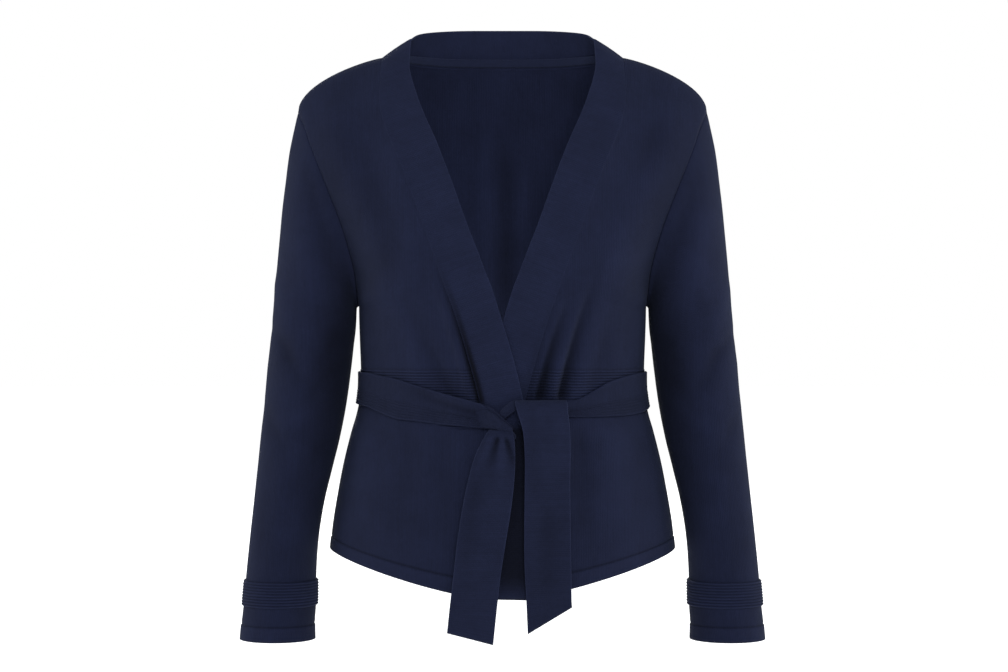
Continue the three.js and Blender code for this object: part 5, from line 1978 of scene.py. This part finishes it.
@dataclass
class Studio:
    """Camera, pale floor and soft light, in metres.

    Attributes:
        camera_place: where the camera stands.
        focal: its focal length in millimetres.
        floor_height: height of the floor.
        floor_size: half length of its sides.
        floor_grey: how light its surface is.
        floor_glow: how much light it gives off.
        ambient: how much light the surroundings give.
        aim: the point inside the garment that every lamp looks at.
        lamps: the soft lights.
    """

    camera_place: tuple[float, float, float] = (0.0016, -2.2, -0.299)
    focal: float = 73.1
    floor_height: float = -0.655
    floor_size: float = 12.0
    floor_grey: float = 0.6
    floor_glow: float = 0.86
    ambient: float = 0.26
    aim: tuple[float, float, float] = (0.0, 0.08, -0.25)
    lamps: tuple[Lamp, ...] = (
        Lamp("front", (0.3, -2.4, 0.75), 0.9, 45.0),
        Lamp("right", (2.4, 0.15, 0.2), 1.2, 30.0),
        Lamp("left", (-2.4, 0.15, 0.2), 1.2, 30.0),
        Lamp("top", (0.0, -0.6, 2.0), 1.2, 14.0),
        Lamp("inside", (0.0, -0.045, -0.38), 0.1, 0.34),
        Lamp("back", (-0.5, 2.4, 0.7), 1.0, 34.0),
    )

    def build_camera(self) -> None:
        """Make the camera, level and looking along +Y."""
        data = bpy.data.cameras.new("camera")
        data.lens = self.focal
        data.sensor_width = 36.0
        data.clip_start = 0.05
        camera = bpy.data.objects.new("camera", data)
        camera.location = self.camera_place
        camera.rotation_euler = (math.pi / 2, 0.0, 0.0)
        bpy.context.scene.collection.objects.link(camera)
        bpy.context.scene.camera = camera

    def build_floor(self) -> None:
        """Make the plain pale floor."""
        bm = bmesh.new()
        bmesh.ops.create_grid(bm, x_segments=1, y_segments=1, size=self.floor_size)
        bmesh.ops.translate(bm, verts=bm.verts, vec=(0.0, 0.0, self.floor_height))
        mesh = bpy.data.meshes.new("floor")
        bm.to_mesh(mesh)
        bm.free()
        material = bpy.data.materials.new("pale floor")
        material.use_nodes = True
        shader = material.node_tree.nodes["Principled BSDF"]
        shader.inputs["Base Color"].default_value = (*[self.floor_grey] * 3, 1.0)
        shader.inputs["Roughness"].default_value = 0.95
        shader.inputs["Emission Color"].default_value = (1.0, 1.0, 1.0, 1.0)
        shader.inputs["Emission Strength"].default_value = self.floor_glow
        mesh.materials.append(material)
        floor = bpy.data.objects.new("floor", mesh)
        bpy.context.scene.collection.objects.link(floor)

    def build_light(self) -> None:
        """Make the white surroundings and the lamps, and show colours as they are."""
        world = bpy.data.worlds.new("studio")
        world.use_nodes = True
        tree = world.node_tree
        tree.nodes.clear()
        graph = Graph(tree)
        lit = graph.add("ShaderNodeBackground", Color=(1.0, 1.0, 1.0, 1.0), Strength=self.ambient)
        seen = graph.add("ShaderNodeBackground", Color=(1.0, 1.0, 1.0, 1.0), Strength=1.0)
        share = graph.add("ShaderNodeLightPath").outputs["Is Camera Ray"]
        both = graph.add("ShaderNodeMixShader", Fac=share)
        graph.feed(both.inputs[1], lit.outputs[0])
        graph.feed(both.inputs[2], seen.outputs[0])
        out = tree.nodes.new("ShaderNodeOutputWorld")
        tree.links.new(both.outputs[0], out.inputs["Surface"])
        scene = bpy.context.scene
        scene.world = world
        scene.view_settings.view_transform = "Standard"
        for lamp in self.lamps:
            lamp.build(self.aim)

    def build(self) -> None:
        """Make the floor and the lights."""
        self.build_floor()
        self.build_light()


def main() -> None:
    """Build the cardigan and its studio."""
    logging.basicConfig(level=logging.INFO, format="%(name)s: %(message)s")
    studio = Studio()
    studio.build_camera()
    form, wardrobe = BodyForm(), Wardrobe()
    for part in (Body, Sleeves, NeckBand, Belt):
        log.info("building %s", part.__name__)
        part(form, wardrobe).build()
    studio.build()


if __name__ == "__main__":
    main()
